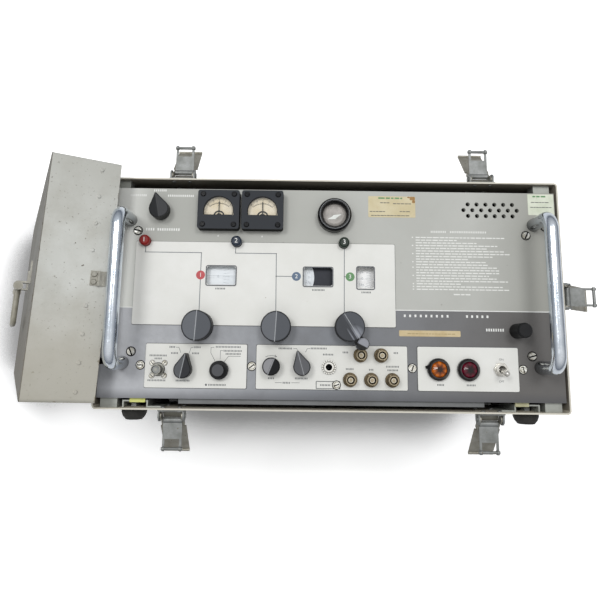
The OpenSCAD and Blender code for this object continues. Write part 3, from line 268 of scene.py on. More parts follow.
# Nickel screws, their light and dark patches partly worn plating and partly painted reflections, black in the meters'
# flanges, and each rack screw's cup washer is blacked
screwLook = {"color": "FFFFFA", "shade": "B3AD9A", "patch": 4, "grain": 0.6, "bump": 0.1, "rough": 0.28,
             "metallic": 0.6, "black": "1E1F21", "gleam": 0.5, "blackGleam": 0.12,
             "rack": (229.75, 74), "cup": (4.45, 6), "meters": (-98.2, 86), "metersHalf": (46, 22)}
screwNickel = makeFinish("platedScrewNickel", screwLook)
tree = screwNickel["tree"]
screwPlace = addNode(tree, "VectorMath", {0: screwNickel["place"]}, operation="ABSOLUTE")
rackAway = awayFrom(tree, screwPlace, *screwLook["rack"])
cupMask = allOf(tree, (rackAway, "GREATER_THAN", screwLook["cup"][0] * mm),
                (rackAway, "LESS_THAN", screwLook["cup"][1] * mm))
meterAway = addNode(tree, "VectorMath", {
    0: screwNickel["place"], 1: Vector((*screwLook["meters"], 0)) * mm}, operation="SUBTRACT")
meterSize = addNode(tree, "VectorMath", {0: meterAway}, operation="ABSOLUTE")
meterAxes = addNode(tree, "SeparateXYZ", {0: meterSize}).outputs
meterMask = allOf(tree, *((meterAxes[i], "LESS_THAN", screwLook["metersHalf"][i] * mm) for i in (0, 1)))
blackMask = addNode(tree, "Math", {0: cupMask, 1: meterMask}, operation="MAXIMUM")
paintOver(screwNickel, blackMask, screwLook["black"])
for socket, plain, black in (("Metallic", screwLook["metallic"], 0.0),
                             ("Specular IOR Level", screwLook["gleam"], screwLook["blackGleam"])):
    screwShare = addNode(tree, "MapRange", {"Value": blackMask, "To Min": plain, "To Max": black})
    tree.links.new(screwShare.outputs["Result"], screwNickel["shader"].inputs[socket])

# The plain finishes: these six, then what else a finish has
columns = ("color", "shade", "patch", "grain", "bump", "rough")
finishes = {
    # baked white enamel on sheet aluminium: satin, slightly yellowed with grime
    "plateEnamel": ("E4E4E0", "D9D9D3", 75, 0.8, 0.08, 0.52,
                    {"ior": 1.4, "speck": "BBB8AC", "speckSize": 4, "speckFrom": 0.77}),
    # zinc plate on pressed steel, dulled to a cloudy grey
    "dullZinc": ("979998", "747673", 12, 0.9, 0.15, 0.52,
                 {"roughSpread": 0.08, "metallic": 0.6, "speck": "6B6455", "speckSize": 3.5, "speckFrom": 0.72}),
    # yellow-passivated zinc, worn to tan
    "tanZinc": ("A5A298", "8A877C", 10, 0.9, 0.15, 0.45,
                {"roughSpread": 0.08, "metallic": 0.7, "speck": "645B48", "speckSize": 3.5, "speckFrom": 0.72}),
    # pale plated rail steel
    "railSteel": ("A9ACA6", "94968F", 20, 1.0, 0.1, 0.45, {"metallic": 0.35}),
    # chassis aluminium with a matt chromate skin
    "chassisAlloy": ("77797A", "676868", 30, 1.2, 0.1, 0.55, {"metallic": 0.4}),
    # steel rod and straps of the lid's handle, painted with the lid and rubbed
    "bailPaint": ("A9A699", "908C7E", 12, 1.0, 0.15, 0.42),
    "strapPaint": ("A8A69C", "8F8C82", 9, 1.0, 0.15, 0.42, {"metallic": 0.3}),
    # moulded black rubber, dusty and matt
    "blackRubber": ("232220", "302E2B", 15, 0.7, 0.25, 0.75),
    # dark slate phenolic of the window rims
    "rimPhenolic": ("4A4E55", "40444A", 18, 0.8, 0.1, 0.38),
    # aged cream card
    "scaleCard": ("EDE3CE", "DDCEAD", 14, 0.6, 0.05, 0.7),
    # black phenolic of the lamp's catch, matt, also drawing the painted shade in and round the screws
    "catchBlackAndScrewShade": ("0D0D0E", "151516", 9, 0.7, 0.1, 0.6, {"ior": 1.18}),
    # white-enamelled dial discs, the third one whiter, and the eye's silvered shield under the glass
    "dialEnamel": ("E8ECEF", "DDE3E8", 40, 0.8, 0.04, 0.35),
    "dialWhite": ("FFFFFF", "FAFBFB", 40, 0.8, 0.04, 0.35),
    "shieldSilver": ("DCDFDA", "CBCFCA", 6, 0.6, 0.03, 0.3),
    # black lacquer on the needles
    "needleLacquer": ("0E0E0E", "181818", 6, 0.5, 0.03, 0.5, {"ior": 1.2}),
    # glossy moulded black bezel, also the black of the painted shade down the jacks' holes
    "bezelBlackAndHoleShade": ("101011", "171718", 10, 0.8, 0.05, 0.24, {"ior": 1.3}),
    # blackened nickel round the lamps
    "lampNickel": ("4A4848", "363435", 8, 0.6, 0.08, 0.25, {"metallic": 0.8}),
    # silvered grey glass end of the tuning eye, its pale grey partly a painted reflection
    "eyeGlass": ("B4AFAA", "928F8A", 6, 3, 0.05, 0.42, {"ior": 1.35}),
    # duller nickel of the toggle switch
    "switchNickel": ("F2F0EA", "A5A29A", 4, 0.6, 0.08, 0.28, {"metallic": 0.6}),
    # black cloth and steel of the speaker
    "speakerBlack": ("161615", "201F1E", 6, 0.5, 0.3, 0.8),
    # moulded button plastics: red, navy and bottle green, with a soft gloss
    "buttonRed": ("8E1F1C", "7A1715", 6, 0.6, 0.06, 0.45, {"ior": 1.35}),
    "buttonNavy": ("2A3442", "212A36", 6, 0.6, 0.06, 0.45, {"ior": 1.35}),
    "buttonGreen": ("26332A", "1D2821", 6, 0.6, 0.06, 0.45, {"ior": 1.35}),
    # silk-screen inks: flat, a little uneven
    "inkWhite": ("ECEDEA", "DFE0DC", 8, 0.5, 0.05, 0.55),
    "inkGrey": ("6E7377", "7B8084", 8, 0.5, 0.05, 0.55),
    # the dark ink also draws the painted shade round the plates
    "inkDarkAndEdgeShade": ("46494A", "585B5C", 6, 0.5, 0.05, 0.55),
    "inkPale": ("A7AEB4", "B4BABF", 8, 0.5, 0.05, 0.55),
    "inkTape": ("9A875F", "B09C74", 5, 0.5, 0.05, 0.6),
    "inkWorn": ("55585A", "707374", 6, 0.5, 0.05, 0.55),
    "inkFaint": ("E6E7E3", "D9DAD5", 6, 0.5, 0.05, 0.55),
    "inkRed": ("BF4A4E", "B34347", 6, 0.5, 0.05, 0.5),
    "inkSlate": ("5C7089", "53667D", 6, 0.5, 0.05, 0.5),
    "inkGreen": ("5E8F5C", "548252", 6, 0.5, 0.05, 0.5),
    # dark band printed on the second dial
    "dialSlate": ("3B3D44", "34363C", 12, 0.6, 0.04, 0.6, {"ior": 1.3}),
    # lines rubbed light along the knobs' ridges, and the painted highlight round the eye's bezel
    "ridgeRubAndRimHighlight": ("9EA1A4", "86898C", 5, 0.5, 0.1, 0.45),
    # aged paper of the stickers and the tape, and a brown burn on a sticker's corner
    "stickerPaper": ("D4CAAA", "C7BA94", 16, 1.0, 0.1, 0.7, {"speck": "C9AE93", "speckSize": 9, "speckFrom": 0.66}),
    "tagPaper": ("DFE3D3", "CBD2BD", 12, 1.0, 0.1, 0.7, {"speck": "A9AE93", "speckSize": 5, "speckFrom": 0.68}),
    "tapePaper": ("CFBE98", "BFAA7E", 14, 1.0, 0.1, 0.65),
    "stainBrown": ("A98350", "8A6536", 4, 1.0, 0.1, 0.7),
    # yellow nylon pads at the ends of the skids, one of them faded
    "padNylon": ("DADF86", "C9CB6A", 8, 0.8, 0.08, 0.5),
    "padFaded": ("BDBB98", "A8A582", 8, 0.8, 0.08, 0.5),
    # white jack insulation, browned
    "jackInsulator": ("D6CFBE", "BDB5A0", 3, 0.5, 0.05, 0.5),
}
for name, row in finishes.items():
    look = dict(zip(columns, row))
    look.update(*row[len(columns):])
    makeFinish(name, look)

# Chrome plate on drawn bar: mirror with haze and fine rubbing, darkened brown down the handles' legs, partly tarnish
# and partly painted shade and painted reflection
chromeLook = {"color": "E8EEF5", "shade": "C6D0DB", "patch": 25, "grain": 2.5, "bump": 0.05, "depth": 0.1,
              "rough": 0.16, "roughSpread": 0.06, "metallic": 1.0, "tarnish": "4A453E", "tarnishAmount": 0.85,
              "cleanTop": 9}
chrome = makeFinish("chromePlate", chromeLook)
chromeZ = addNode(chrome["tree"], "SeparateXYZ", {0: chrome["place"]}).outputs[2]
paintOver(chrome, addNode(chrome["tree"], "MapRange", {
    "Value": chromeZ, "From Min": panelZ * mm, "From Max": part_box("rack_handles")[1].z - chromeLook["cleanTop"] * mm,
    "To Min": chromeLook["tarnishAmount"], "To Max": 0.0}), chromeLook["tarnish"])

# Moulded pieces whose two slopes, left and right of the ridge, are painted a lit and a shaded grey, with painted shade
# down the sides.
# Rims are round knobs: x, y, radius. A pointer is x, y, turn, width and the nose's reach. A gleam: x, y, reach
slopes = {
    # charcoal plastic rubbed to a soft sheen
    "tuningPlastic": {"left": "686B70", "right": "585B60", "side": "17181A", "rough": 0.5,
                      "rims": [(-139.1, -37.2, 15.5), (-58.2, -37.2, 15.5)]},
    "crankPlastic": {"left": "47494D", "right": "55585D", "side": "17181A", "rough": 0.5,
                     "rims": [(17.7, -36.2, 15.5)], "gleam": (22.5, -45.5, 11.0, "B4B8C2")},
    "lockPlastic": {"left": "28292B", "right": "3D3E40", "side": "151617", "rough": 0.5,
                    "pointer": (-185, 85.8, 11, 20.6, 16.7)},
    "rangePlastic": {"left": "5C5E61", "right": "343538", "side": "151617", "rough": 0.48,
                     "pointer": (-152.4, -81.6, -11, 17.6, 16.7)},
    "audioPlastic": {"left": "5F6063", "right": "636467", "side": "18191A", "rough": 0.48,
                     "pointer": (-31.1, -77.5, 16, 17.6, 16.7)},
    "attenuatorPlastic": {"left": "525356", "right": "434447", "side": "121314", "rough": 0.45,
                          "rims": [(-115.9, -81.8, 7.3)]},
    # black phenolic, shinier
    "gainPhenolic": {"left": "8F8F92", "right": "1C1D1F", "side": "101112", "rough": 0.38,
                     "rims": [(-62.4, -77.4, 9.0)]},
    "resetPhenolic": {"left": "151618", "right": "121315", "side": "0F1011", "rough": 0.5},
    # slate phenolic of the meters, with painted shade for its black sides
    "meterPhenolic": {"left": "37393D", "right": "393C40", "side": "0E0F10", "rough": 0.65, "ior": 1.22}}
# Where the painted shade of a rim and of a pointer's edge starts and ends, and a nose's shape by its knob's width
slopeShade = {"rimFrom": 1.6, "rimTo": 0.6, "clear": 4, "noseFrom": 0.22, "noseHalf": 0.44, "tip": 0.8,
             "overlap": 1.2, "edgeFrom": 0.5, "edgeTo": 1.4}
for name, look in slopes.items():
    moulding = makeFinish(name, {
        "color": look["left"], "shade": look["left"], "patch": 10, "grain": 0.7, "bump": 0.12,
        "rough": look["rough"], "ior": look.get("ior", 1.32)})
    tree, place, right = moulding["tree"], moulding["place"], look["right"]
    facing = addNode(tree, "SeparateXYZ", {0: addNode(tree, "TexCoord").outputs["Normal"]}).outputs
    # A painted highlight over the right slope, fading away from a point
    if "gleam" in look:
        x, y, reach, shine = look["gleam"]
        gleam = addNode(tree, "MapRange", {
            "Value": awayFrom(tree, place, x, y), "From Max": reach * mm, "To Min": 1.0, "To Max": 0.0})
        right = addNode(tree, "Mix", {0: gleam, 6: right, 7: shine}, data_type="RGBA")
    paintOver(moulding, addNode(tree, "MapRange", {"Value": facing[0], "From Min": -0.1, "From Max": 0.1}), right)
    share = addNode(tree, "MapRange", {"Value": facing[2], "From Min": 0.3, "From Max": 0.6})
    for x, y, r in look.get("rims", []):                      # painted shade again close to a round knob's edge
        away = awayFrom(tree, place, x, y)
        near = addNode(tree, "MapRange", {
            "Value": away, "From Min": (r - slopeShade["rimFrom"]) * mm, "From Max": (r - slopeShade["rimTo"]) * mm,
            "To Min": 1.0, "To Max": 0.0})
        far = addNode(tree, "Math", {0: away, 1: (r + slopeShade["clear"]) * mm}, operation="GREATER_THAN")
        keep = addNode(tree, "Math", {0: near, 1: far}, operation="MAXIMUM")
        share = addNode(tree, "Math", {0: share, 1: keep}, operation="MULTIPLY")
    if "pointer" in look:                                     # and to a pointer's, a round with a tapered nose
        x, y, turn, wide, reach = look["pointer"]
        noseFrom, noseHalf = wide * slopeShade["noseFrom"], wide * slopeShade["noseHalf"]
        taper = (noseHalf - slopeShade["tip"]) / (reach - noseFrom)
        flat = addNode(tree, "VectorMath", {0: place, 1: (1, 1, 0)}, operation="MULTIPLY")
        inKnob = addNode(tree, "Mapping", {
            "Vector": flat, "Location": (x * mm, y * mm, 0), "Rotation": (0, 0, math.radians(turn))},
            vector_type="TEXTURE")
        knobAxes = addNode(tree, "SeparateXYZ", {0: inKnob}).outputs
        off = addNode(tree, "Math", {0: knobAxes[0]}, operation="ABSOLUTE")
        away = addNode(tree, "VectorMath", {0: inKnob}, operation="LENGTH")
        inRound = addNode(tree, "Math", {0: wide / 2 * mm, 1: away}, operation="SUBTRACT")
        along = addNode(tree, "Math", {0: knobAxes[1], 1: noseFrom * mm}, operation="SUBTRACT")
        half = addNode(tree, "Math", {0: along, 1: -taper, 2: noseHalf * mm}, operation="MULTIPLY_ADD")
        inSide = addNode(tree, "Math", {0: half, 1: off}, operation="SUBTRACT")
        start = addNode(tree, "Math", {0: along, 1: slopeShade["overlap"] * mm}, operation="ADD")
        inNose = addNode(tree, "Math", {0: inSide, 1: start}, operation="MINIMUM")
        depth = addNode(tree, "Math", {0: inRound, 1: inNose}, operation="MAXIMUM")
        keep = addNode(tree, "MapRange", {
            "Value": depth, "From Min": slopeShade["edgeFrom"] * mm, "From Max": slopeShade["edgeTo"] * mm})
        share = addNode(tree, "Math", {0: share, 1: keep}, operation="MULTIPLY")
    slopeLightAndShade, moulding["color"] = moulding["color"], look["side"]
    paintOver(moulding, share, slopeLightAndShade)

# The crank's spinner is black phenolic with a painted sheen, a painted highlight over one half of its end
spinnerLook = {"color": "121314", "shade": "191A1B", "patch": 6, "grain": 0.7, "bump": 0.1, "rough": 0.4, "ior": 1.3,
               "sheen": "8E9097", "lean": 0.5, "from": -42.0, "to": -41.2, "end": 2.5}
spinner = makeFinish("spinnerPhenolic", spinnerLook)
tree = spinner["tree"]
spinnerAxes = addNode(tree, "SeparateXYZ", {0: spinner["place"]}).outputs
spinnerLean = addNode(tree, "Math", {0: spinnerAxes[0], 1: spinnerLook["lean"]}, operation="MULTIPLY")
spinnerSide = addNode(tree, "Math", {0: spinnerAxes[1], 1: spinnerLean}, operation="ADD")
spinnerHalf = addNode(tree, "MapRange", {
    "Value": spinnerSide, "From Min": spinnerLook["from"] * mm, "From Max": spinnerLook["to"] * mm})
spinnerEnd = allOf(tree, (spinnerAxes[2], "GREATER_THAN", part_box("crank_spinner")[1].z - spinnerLook["end"] * mm))
paintOver(spinner, addNode(tree, "Math", {0: spinnerHalf, 1: spinnerEnd}, operation="MULTIPLY"),
          spinnerLook["sheen"])

# Coaxial jacks: bright worn shells over olive nuts; the input jack on the left is plain nickel, its sides painted dark
# as painted shade and its top lighter as painted light
jackLook = {"color": "6E6149", "shade": "463C2C", "patch": 4, "grain": 0.5, "bump": 0.12, "rough": 0.4,
            "metallic": 0.6, "shell": "9C9078", "shellFrom": 2.7, "inputSide": "4B4A46", "inputTop": "8E8E87",
            "inputLeftOf": -150, "inputUp": 0.6}
jacks = makeFinish("wornJackPlate", jackLook)
tree = jacks["tree"]
jackAxes = addNode(tree, "SeparateXYZ", {0: jacks["place"]}).outputs
jackUp = addNode(tree, "SeparateXYZ", {0: addNode(tree, "TexCoord").outputs["Normal"]}).outputs[2]
paintOver(jacks, allOf(tree, (jackAxes[2], "GREATER_THAN", (panelZ + plateTop + jackLook["shellFrom"]) * mm)),
          jackLook["shell"])
# Painted shade down the input jack's sides, its top lighter as painted light
inputTone = addNode(tree, "Mix", {
    0: allOf(tree, (jackUp, "GREATER_THAN", jackLook["inputUp"])), 6: jackLook["inputSide"],
    7: jackLook["inputTop"]}, data_type="RGBA")
paintOver(jacks, allOf(tree, (jackAxes[0], "LESS_THAN", jackLook["inputLeftOf"] * mm)), inputTone)

# Phones jack: bright nickel, with painted shade down its bore
phonesLook = {"color": "F0EFEA", "shade": "DEDCD4", "patch": 5, "grain": 0.6, "bump": 0.08, "rough": 0.3,
              "metallic": 0.6, "bore": "0B0B0B", "boreR": 3.4, "x": -3.2, "y": -77.6}
phones = makeFinish("phonesNickel", phonesLook)
phonesAway = awayFrom(phones["tree"], phones["place"], phonesLook["x"], phonesLook["y"])
paintOver(phones, allOf(phones["tree"], (phonesAway, "LESS_THAN", phonesLook["boreR"] * mm)), phonesLook["bore"])

# Pressed clear glass over the meters: thin, so the card shows through with a faint gleam
paneLook = {"color": "F2F4F2", "shade": "E9EDEA", "patch": 30, "grain": 8, "bump": 0.02, "rough": 0.04,
            "roughSpread": 0.02, "alpha": 0.035}
makeFinish("meterPane", paneLook)["shader"].inputs["Alpha"].default_value = paneLook["alpha"]

# Cut glass jewels: wet gloss, with painted shade deep in the middle and on every other facet
jewelLooks = {
    "amberGlass": {"color": "DE7A22", "shade": "C05A14", "deep": "2C1409", "middle": (109.6, -78.5)},
    "rubyGlass": {"color": "7C1230", "shade": "560A1E", "deep": "120306", "middle": (140.6, -78.5)}}
jewelCut = {"patch": 4, "grain": 4, "bump": 0.03, "rough": 0.1, "pupil": 2.2, "edge": 7.0, "facets": 7.0}
for name, look in jewelLooks.items():
    jewel = makeFinish(name, dict(jewelCut, **look))
    tree, (x, y) = jewel["tree"], look["middle"]
    # Painted shade in the middle, then on every other facet
    glass, jewel["color"] = jewel["color"], look["deep"]
    paintOver(jewel, addNode(tree, "MapRange", {
        "Value": awayFrom(tree, jewel["place"], x, y), "From Min": jewelCut["pupil"] * mm,
        "From Max": jewelCut["edge"] * mm}), glass)
    local = addNode(tree, "VectorMath", {0: jewel["place"], 1: (x * mm, y * mm, 0)}, operation="SUBTRACT")
    jewelAxes = addNode(tree, "SeparateXYZ", {0: local}).outputs
    angle = addNode(tree, "Math", {0: jewelAxes[1], 1: jewelAxes[0]}, operation="ARCTAN2")
    turns = addNode(tree, "Math", {0: angle, 1: jewelCut["facets"]}, operation="MULTIPLY")
    wave = addNode(tree, "Math", {0: turns}, operation="SINE")
    paintOver(jewel, addNode(tree, "MapRange", {
        "Value": wave, "From Min": -0.35, "From Max": 0.35, "To Max": 0.5}), look["deep"])

# Which CAD nodes have which finish
finishOf = {
    "wornGreyEnamel": "case_shell", "wornGreyEnamelLid": "lid_shell lid_rivets",
    "blackRubber": "case_feet lid_gasket", "dullZinc": "case_fasteners latch_bases", "railSteel": "case_rails",
    "strapPaint": "lid_brackets", "bailPaint": "lid_handle", "twoGreyPanelEnamel": "front_panel",
    "plateEnamel": "dial_plate control_plates", "chromePlate": "rack_handles", "platedScrewNickel": "panel_screws",
    "meterPhenolic": "meter_cases", "scaleCard": "meter_scales", "meterPane": "meter_glasses",
    "needleLacquer": "meter_needle_1 meter_needle_2", "bezelBlackAndHoleShade": "eye_bezel", "eyeGlass": "eye_tube",
    "lampNickel": "lamp_bezels", "amberGlass": "lamp_lens_amber", "rubyGlass": "lamp_lens_red",
    "switchNickel": "power_switch switch_lever", "wornJackPlate": "coax_jacks", "phonesNickel": "phones_jack",
    "speakerBlack": "speaker", "chassisAlloy": "chassis inner_units",
    "tuningPlastic": "tuning_knob_1 tuning_knob_2", "crankPlastic": "crank", "spinnerPhenolic": "crank_spinner",
    "dialEnamel": "dial_1 dial_2", "dialWhite": "dial_3", "lockPlastic": "lock_knob", "rangePlastic": "range_knob",
    "attenuatorPlastic": "attenuator_knob", "gainPhenolic": "gain_knob", "audioPlastic": "audio_knob",
    "resetPhenolic": "reset_knob", "buttonRed": "lock_button_1", "buttonNavy": "lock_button_2",
    "buttonGreen": "lock_button_3"}
nodeFinish = {name: finish for finish, names in finishOf.items() for name in names.split()}
for i in range(1, 7):
    nodeFinish[f"latch_lever_{i}"] = "tanZinc"
    nodeFinish[f"latch_link_{i}"] = "dullZinc"
for name, node in nodes.items():
    node.data.materials.clear()
    node.data.materials.append(made[nodeFinish[name]])
print("finishes made:", len(made))


def spot(x, y, z):
    return Vector((x * mm, y * mm, (panelZ + z) * mm))


# The two points at r0 and r1 along a direction from a middle
def spoke(x, y, a, r0, r1):
    return [(x + r * math.cos(a), y + r * math.sin(a)) for r in (r0, r1)]


def addBlock(bm, x0, x1, y0, y1, z0, z1, turn=0.0):
    middle = spot((x0 + x1) / 2, (y0 + y1) / 2, (z0 + z1) / 2)
    size = Matrix.Diagonal(((x1 - x0) * mm, (y1 - y0) * mm, (z1 - z0) * mm, 1))
    bmesh.ops.create_cube(bm, size=1, matrix=Matrix.Translation(middle) @ Matrix.Rotation(turn, 4, "Z") @ size)


# A printed line through some points, each stretch running half its width past its ends
def addLine(bm, points, width, z0, z1):
    for (xa, ya), (xb, yb) in zip(points, points[1:]):
        length = math.hypot(xb - xa, yb - ya) + width
        xm, ym = (xa + xb) / 2, (ya + yb) / 2
        addBlock(bm, xm - length / 2, xm + length / 2, ym - width / 2, ym + width / 2, z0, z1,
                 math.atan2(yb - ya, xb - xa))


def addDisc(bm, x, y, r, z0, z1, steps=32):
    bmesh.ops.create_cone(bm, cap_ends=True, segments=steps, radius1=r * mm, radius2=r * mm, depth=(z1 - z0) * mm,
                          matrix=Matrix.Translation(spot(x, y, (z0 + z1) / 2)))


# A ring or part of one, spun from its section
def addRing(bm, x, y, r0, r1, z0, z1, start=0.0, sweep=360.0, steps=48):
    a = math.radians(start)
    corners = [(r0, z0), (r1, z0), (r1, z1), (r0, z1)]
    verts = [bm.verts.new(spot(x + r * math.cos(a), y + r * math.sin(a), z)) for r, z in corners]
    full = sweep >= 360
    geom = list(verts) + [bm.edges.new((verts[i], verts[(i + 1) % 4])) for i in range(4)]
    if not full:
        geom.append(bm.faces.new(verts))
    bmesh.ops.spin(bm, geom=geom, cent=spot(x, y, 0), axis=(0, 0, 1), angle=math.radians(sweep), steps=steps,
                   use_merge=full)


# Give flat faces their thickness
def raiseFaces(bm, faces, tall):
    grown = bmesh.ops.extrude_face_region(bm, geom=faces)["geom"]
    bmesh.ops.translate(bm, vec=(0, 0, tall * mm), verts=[v for v in grown if isinstance(v, bmesh.types.BMVert)])


# A flat plate with rounded corners; with a border width only its rim is left
def addPlate(bm, x0, x1, y0, y1, z0, z1, corner, border=0.0, steps=5):
    before = set(bm.faces)
    quad = bm.faces.new([bm.verts.new(spot(x, y, z0)) for x, y in ((x0, y0), (x1, y0), (x1, y1), (x0, y1))])
    bmesh.ops.bevel(bm, geom=list(quad.verts), offset=corner * mm, affect="VERTICES", segments=steps, profile=0.5,
                    material=-1)
    faces = [face for face in bm.faces if face not in before]
    if border:
        rim = bmesh.ops.inset_region(bm, faces=faces, thickness=border * mm, use_boundary=True,
                                     use_even_offset=True)["faces"]
        bmesh.ops.delete(bm, geom=faces, context="FACES")
        faces = rim
    raiseFaces(bm, faces, z1 - z0)


def addFigure(bm, text, size, x, y, z, turn=0.0):
    thick = 0.03
    curve = bpy.data.curves.new("figure", "FONT")
    curve.body, curve.size, curve.extrude, curve.resolution_u = text, size * mm, thick * mm, 2
    curve.align_x, curve.align_y = "CENTER", "CENTER"
    holder = bpy.data.objects.new("figure", curve)
    bpy.context.scene.collection.objects.link(holder)
    shown = holder.evaluated_get(bpy.context.evaluated_depsgraph_get())
    mesh = bpy.data.meshes.new_from_object(shown)
    mesh.transform(Matrix.Translation(spot(x, y, z + thick)) @ Matrix.Rotation(turn, 4, "Z"))
    bm.from_mesh(mesh)
    bpy.data.meshes.remove(mesh)
    bpy.data.objects.remove(holder)
    bpy.data.curves.remove(curve)


lift, inkTall = 0.01, 0.05                    # how far ink stands off a face, and how thick it is
inkZ = plateTop + lift


# Printed words stand as bars: even strokes of a line of small type, always the same for the same line
def addWords(bm, x0, x1, y, tall, z, seed, shortest=2.6, longest=7.0):
    x, step, gap, least = x0, seed, tall * 0.75, shortest * 0.6
    while x < x1 - least:
        step += 1
        share = (math.sin(step * 12.9898 + seed * 4.1414) * 43758.5453) % 1.0      # scattered from 0 to 1
        end = min(x + shortest + share * (longest - shortest), x1)
        addBlock(bm, x, end, y - tall / 2, y + tall / 2, z, z + inkTall)
        x = end + gap


# Short strokes side by side, as far-off capitals look
def addMarks(bm, x0, x1, y, tall, z, gapAt=()):
    count = max(2, round((x1 - x0) / (tall * 0.86)))
    pitch = (x1 - x0) / count
    stroke = pitch * 0.58
    for i in range(count):
        if i not in gapAt:
            x = x0 + pitch * i
            addBlock(bm, x, x + stroke, y - tall / 2, y + tall / 2, z, z + inkTall)


def finishPiece(bm, name, finish, body="case", smooth=None):
    bmesh.ops.recalc_face_normals(bm, faces=bm.faces)
    mesh = bpy.data.meshes.new(name)
    bm.to_mesh(mesh)
    bm.free()
    mesh.materials.append(made[finish])
    if smooth:
        mesh.polygons.foreach_set("use_smooth", [True] * len(mesh.polygons))
        mesh.set_sharp_from_angle(angle=math.radians(smooth))
    piece = bpy.data.objects.new(name, mesh)
    bpy.context.scene.collection.objects.link(piece)
    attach(piece, body)
    return piece


# Lines on the dial plate from each button to its window's disc and its knob
leadLines = {"width": 0.8, "routes": [
    [(-199.0, 47.0), (-199.0, 40.6), (-139.4, 40.6), (-139.4, -21.5)],
    [(-103.1, 46.5), (-103.1, 40.6), (-59.6, 40.6), (-59.0, -21.5)],
    [(-59.6, 16.3), (-42.5, 16.3)], [(12.9, 46.8), (12.8, -20.8)], [(12.8, 16.7), (14.8, 16.7)]]}
bm = bmesh.new()
for route in leadLines["routes"]:
    addLine(bm, route, leadLines["width"], inkZ, inkZ + inkTall)
finishPiece(bm, "leadLines", "inkGrey")

windowDiscs = {"r": 4.75, "tall": 0.1, "figure": 6.4, "places": [
    (-139.4, 16.6, "inkRed", "1"), (-37.9, 16.4, "inkSlate", "2"), (19.0, 16.7, "inkGreen", "3")]}
discFigures = bmesh.new()
for i, (x, y, ink, figure) in enumerate(windowDiscs["places"], 1):
    bm = bmesh.new()
    addDisc(bm, x, y, windowDiscs["r"], inkZ, inkZ + windowDiscs["tall"])
    finishPiece(bm, f"windowDisc{i}", ink)
    addFigure(discFigures, figure, windowDiscs["figure"], x, y, inkZ + windowDiscs["tall"])
finishPiece(discFigures, "windowDiscFigures", "inkWhite")

# Pressed rims of the three dial windows, and hairlines behind two of them
windows = {"rim": 1.1, "corner": 2.2, "tall": 0.35, "boxes": [
    (-132.9, -102.3, 6.3, 26.2), (-30.1, 0.2, 6.3, 26.0), (26.6, 44.2, 4.1, 27.1)],
    "hairlines": [(26.0, 44.8, 14.7, 14.95), (-133.4, -101.8, 16.2, 16.4)], "hairZ": (-1.2, -1.0)}
bm = bmesh.new()
for x0, x1, y0, y1 in windows["boxes"]:
    out = windows["rim"]
    addPlate(bm, x0 - out, x1 + out, y0 - out, y1 + out, inkZ, plateTop + windows["tall"], windows["corner"], out)
finishPiece(bm, "windowRims", "rimPhenolic")
bm = bmesh.new()
for box in windows["hairlines"]:
    addBlock(bm, *box, *windows["hairZ"])
finishPiece(bm, "windowHairlines", "inkGrey")

# Panel legends: the divider, bars that stand for words, and two widely spaced words under the divider
panelLegend = {"divider": [(-222.8, -209.5, -18.7, -17.7), (66.9, 230.2, -18.3, -17.4)], "words": [
    (-200.2, -163.2, 65.7, 2.8, (4,)), (-193.9, -179.6, 109.0, 2.4, ()), (-219.1, -201.0, 103.3, 2.4, ()),
    (-178.5, -149.8, 103.2, 2.4, ()), (161.5, 181.1, -37.4, 2.9, ()),
    (-123.2, -121.6, 59.5, 1.8, ()), (-76.0, -74.4, 59.3, 1.8, ())],
    "spaced": [(75.5, 122.5, 9), (141.0, 164.5, 5)], "stroke": 2.0, "spacedY": (-24.9, -22.3)}
bm = bmesh.new()
for box in panelLegend["divider"]:
    addBlock(bm, *box, lift, lift + inkTall)
for x0, x1, y, tall, gaps in panelLegend["words"]:
    addMarks(bm, x0, x1, y, tall, lift, gaps)
for x0, x1, count in panelLegend["spaced"]:
    stroke = panelLegend["stroke"]
    for i in range(count):
        x = x0 + (x1 - x0 - stroke) * i / (count - 1)
        addBlock(bm, x, x + stroke, *panelLegend["spacedY"], lift, lift + inkTall)
finishPiece(bm, "panelLegends", "inkWhite")

instructions = {"lines": 20, "top": 60.6, "bottom": 4.6, "left": 89.6, "tall": 1.15, "ends": [
    186, 134, 155, 179, 167, 184, 190, 174, 146, 164, 166, 178, 178, 178, 167, 175, 187, 138, 181, 190],
    "numbered": (0, 3, 6, 9, 11, 14, 17, 18, 19), "number": (85.5, 87.0), "numberTall": 1.2,
    "heading": (106.1, 166.5, 66.9, 2.2), "headingGap": (9, 10), "last": (128.7, 146.4, -0.6, 1.3), "lastSeed": 41}
bm = bmesh.new()
addMarks(bm, *instructions["heading"], lift, instructions["headingGap"])
for i in range(instructions["lines"]):
    y = instructions["top"] + (instructions["bottom"] - instructions["top"]) * i / (instructions["lines"] - 1)
    addWords(bm, instructions["left"], instructions["ends"][i], y, instructions["tall"], lift, i + 3)
    if i in instructions["numbered"]:
        half = instructions["numberTall"] / 2
        addBlock(bm, *instructions["number"], y - half, y + half, lift, lift + inkTall)
addWords(bm, *instructions["last"], lift, instructions["lastSeed"])
finishPiece(bm, "instructionLines", "inkFaint")

# Painted shade in the gap round each enamelled plate
plateEdges = {"width": 0.6, "corner": 1.6, "top": 0.05, "boxes": [
    (-209.3, 66.7, -36.0, 52.2), (-192.8, -88.0, -100.3, -55.6), (-78.1, 78.0, -100.3, -55.6),
    (88.8, 193.0, -100.3, -55.6)]}
bm = bmesh.new()
for x0, x1, y0, y1 in plateEdges["boxes"]:
    out = plateEdges["width"]
    addPlate(bm, x0 - out, x1 + out, y0 - out, y1 + out, lift, plateEdges["top"], plateEdges["corner"], out)
finishPiece(bm, "plateGrime", "inkDarkAndEdgeShade")

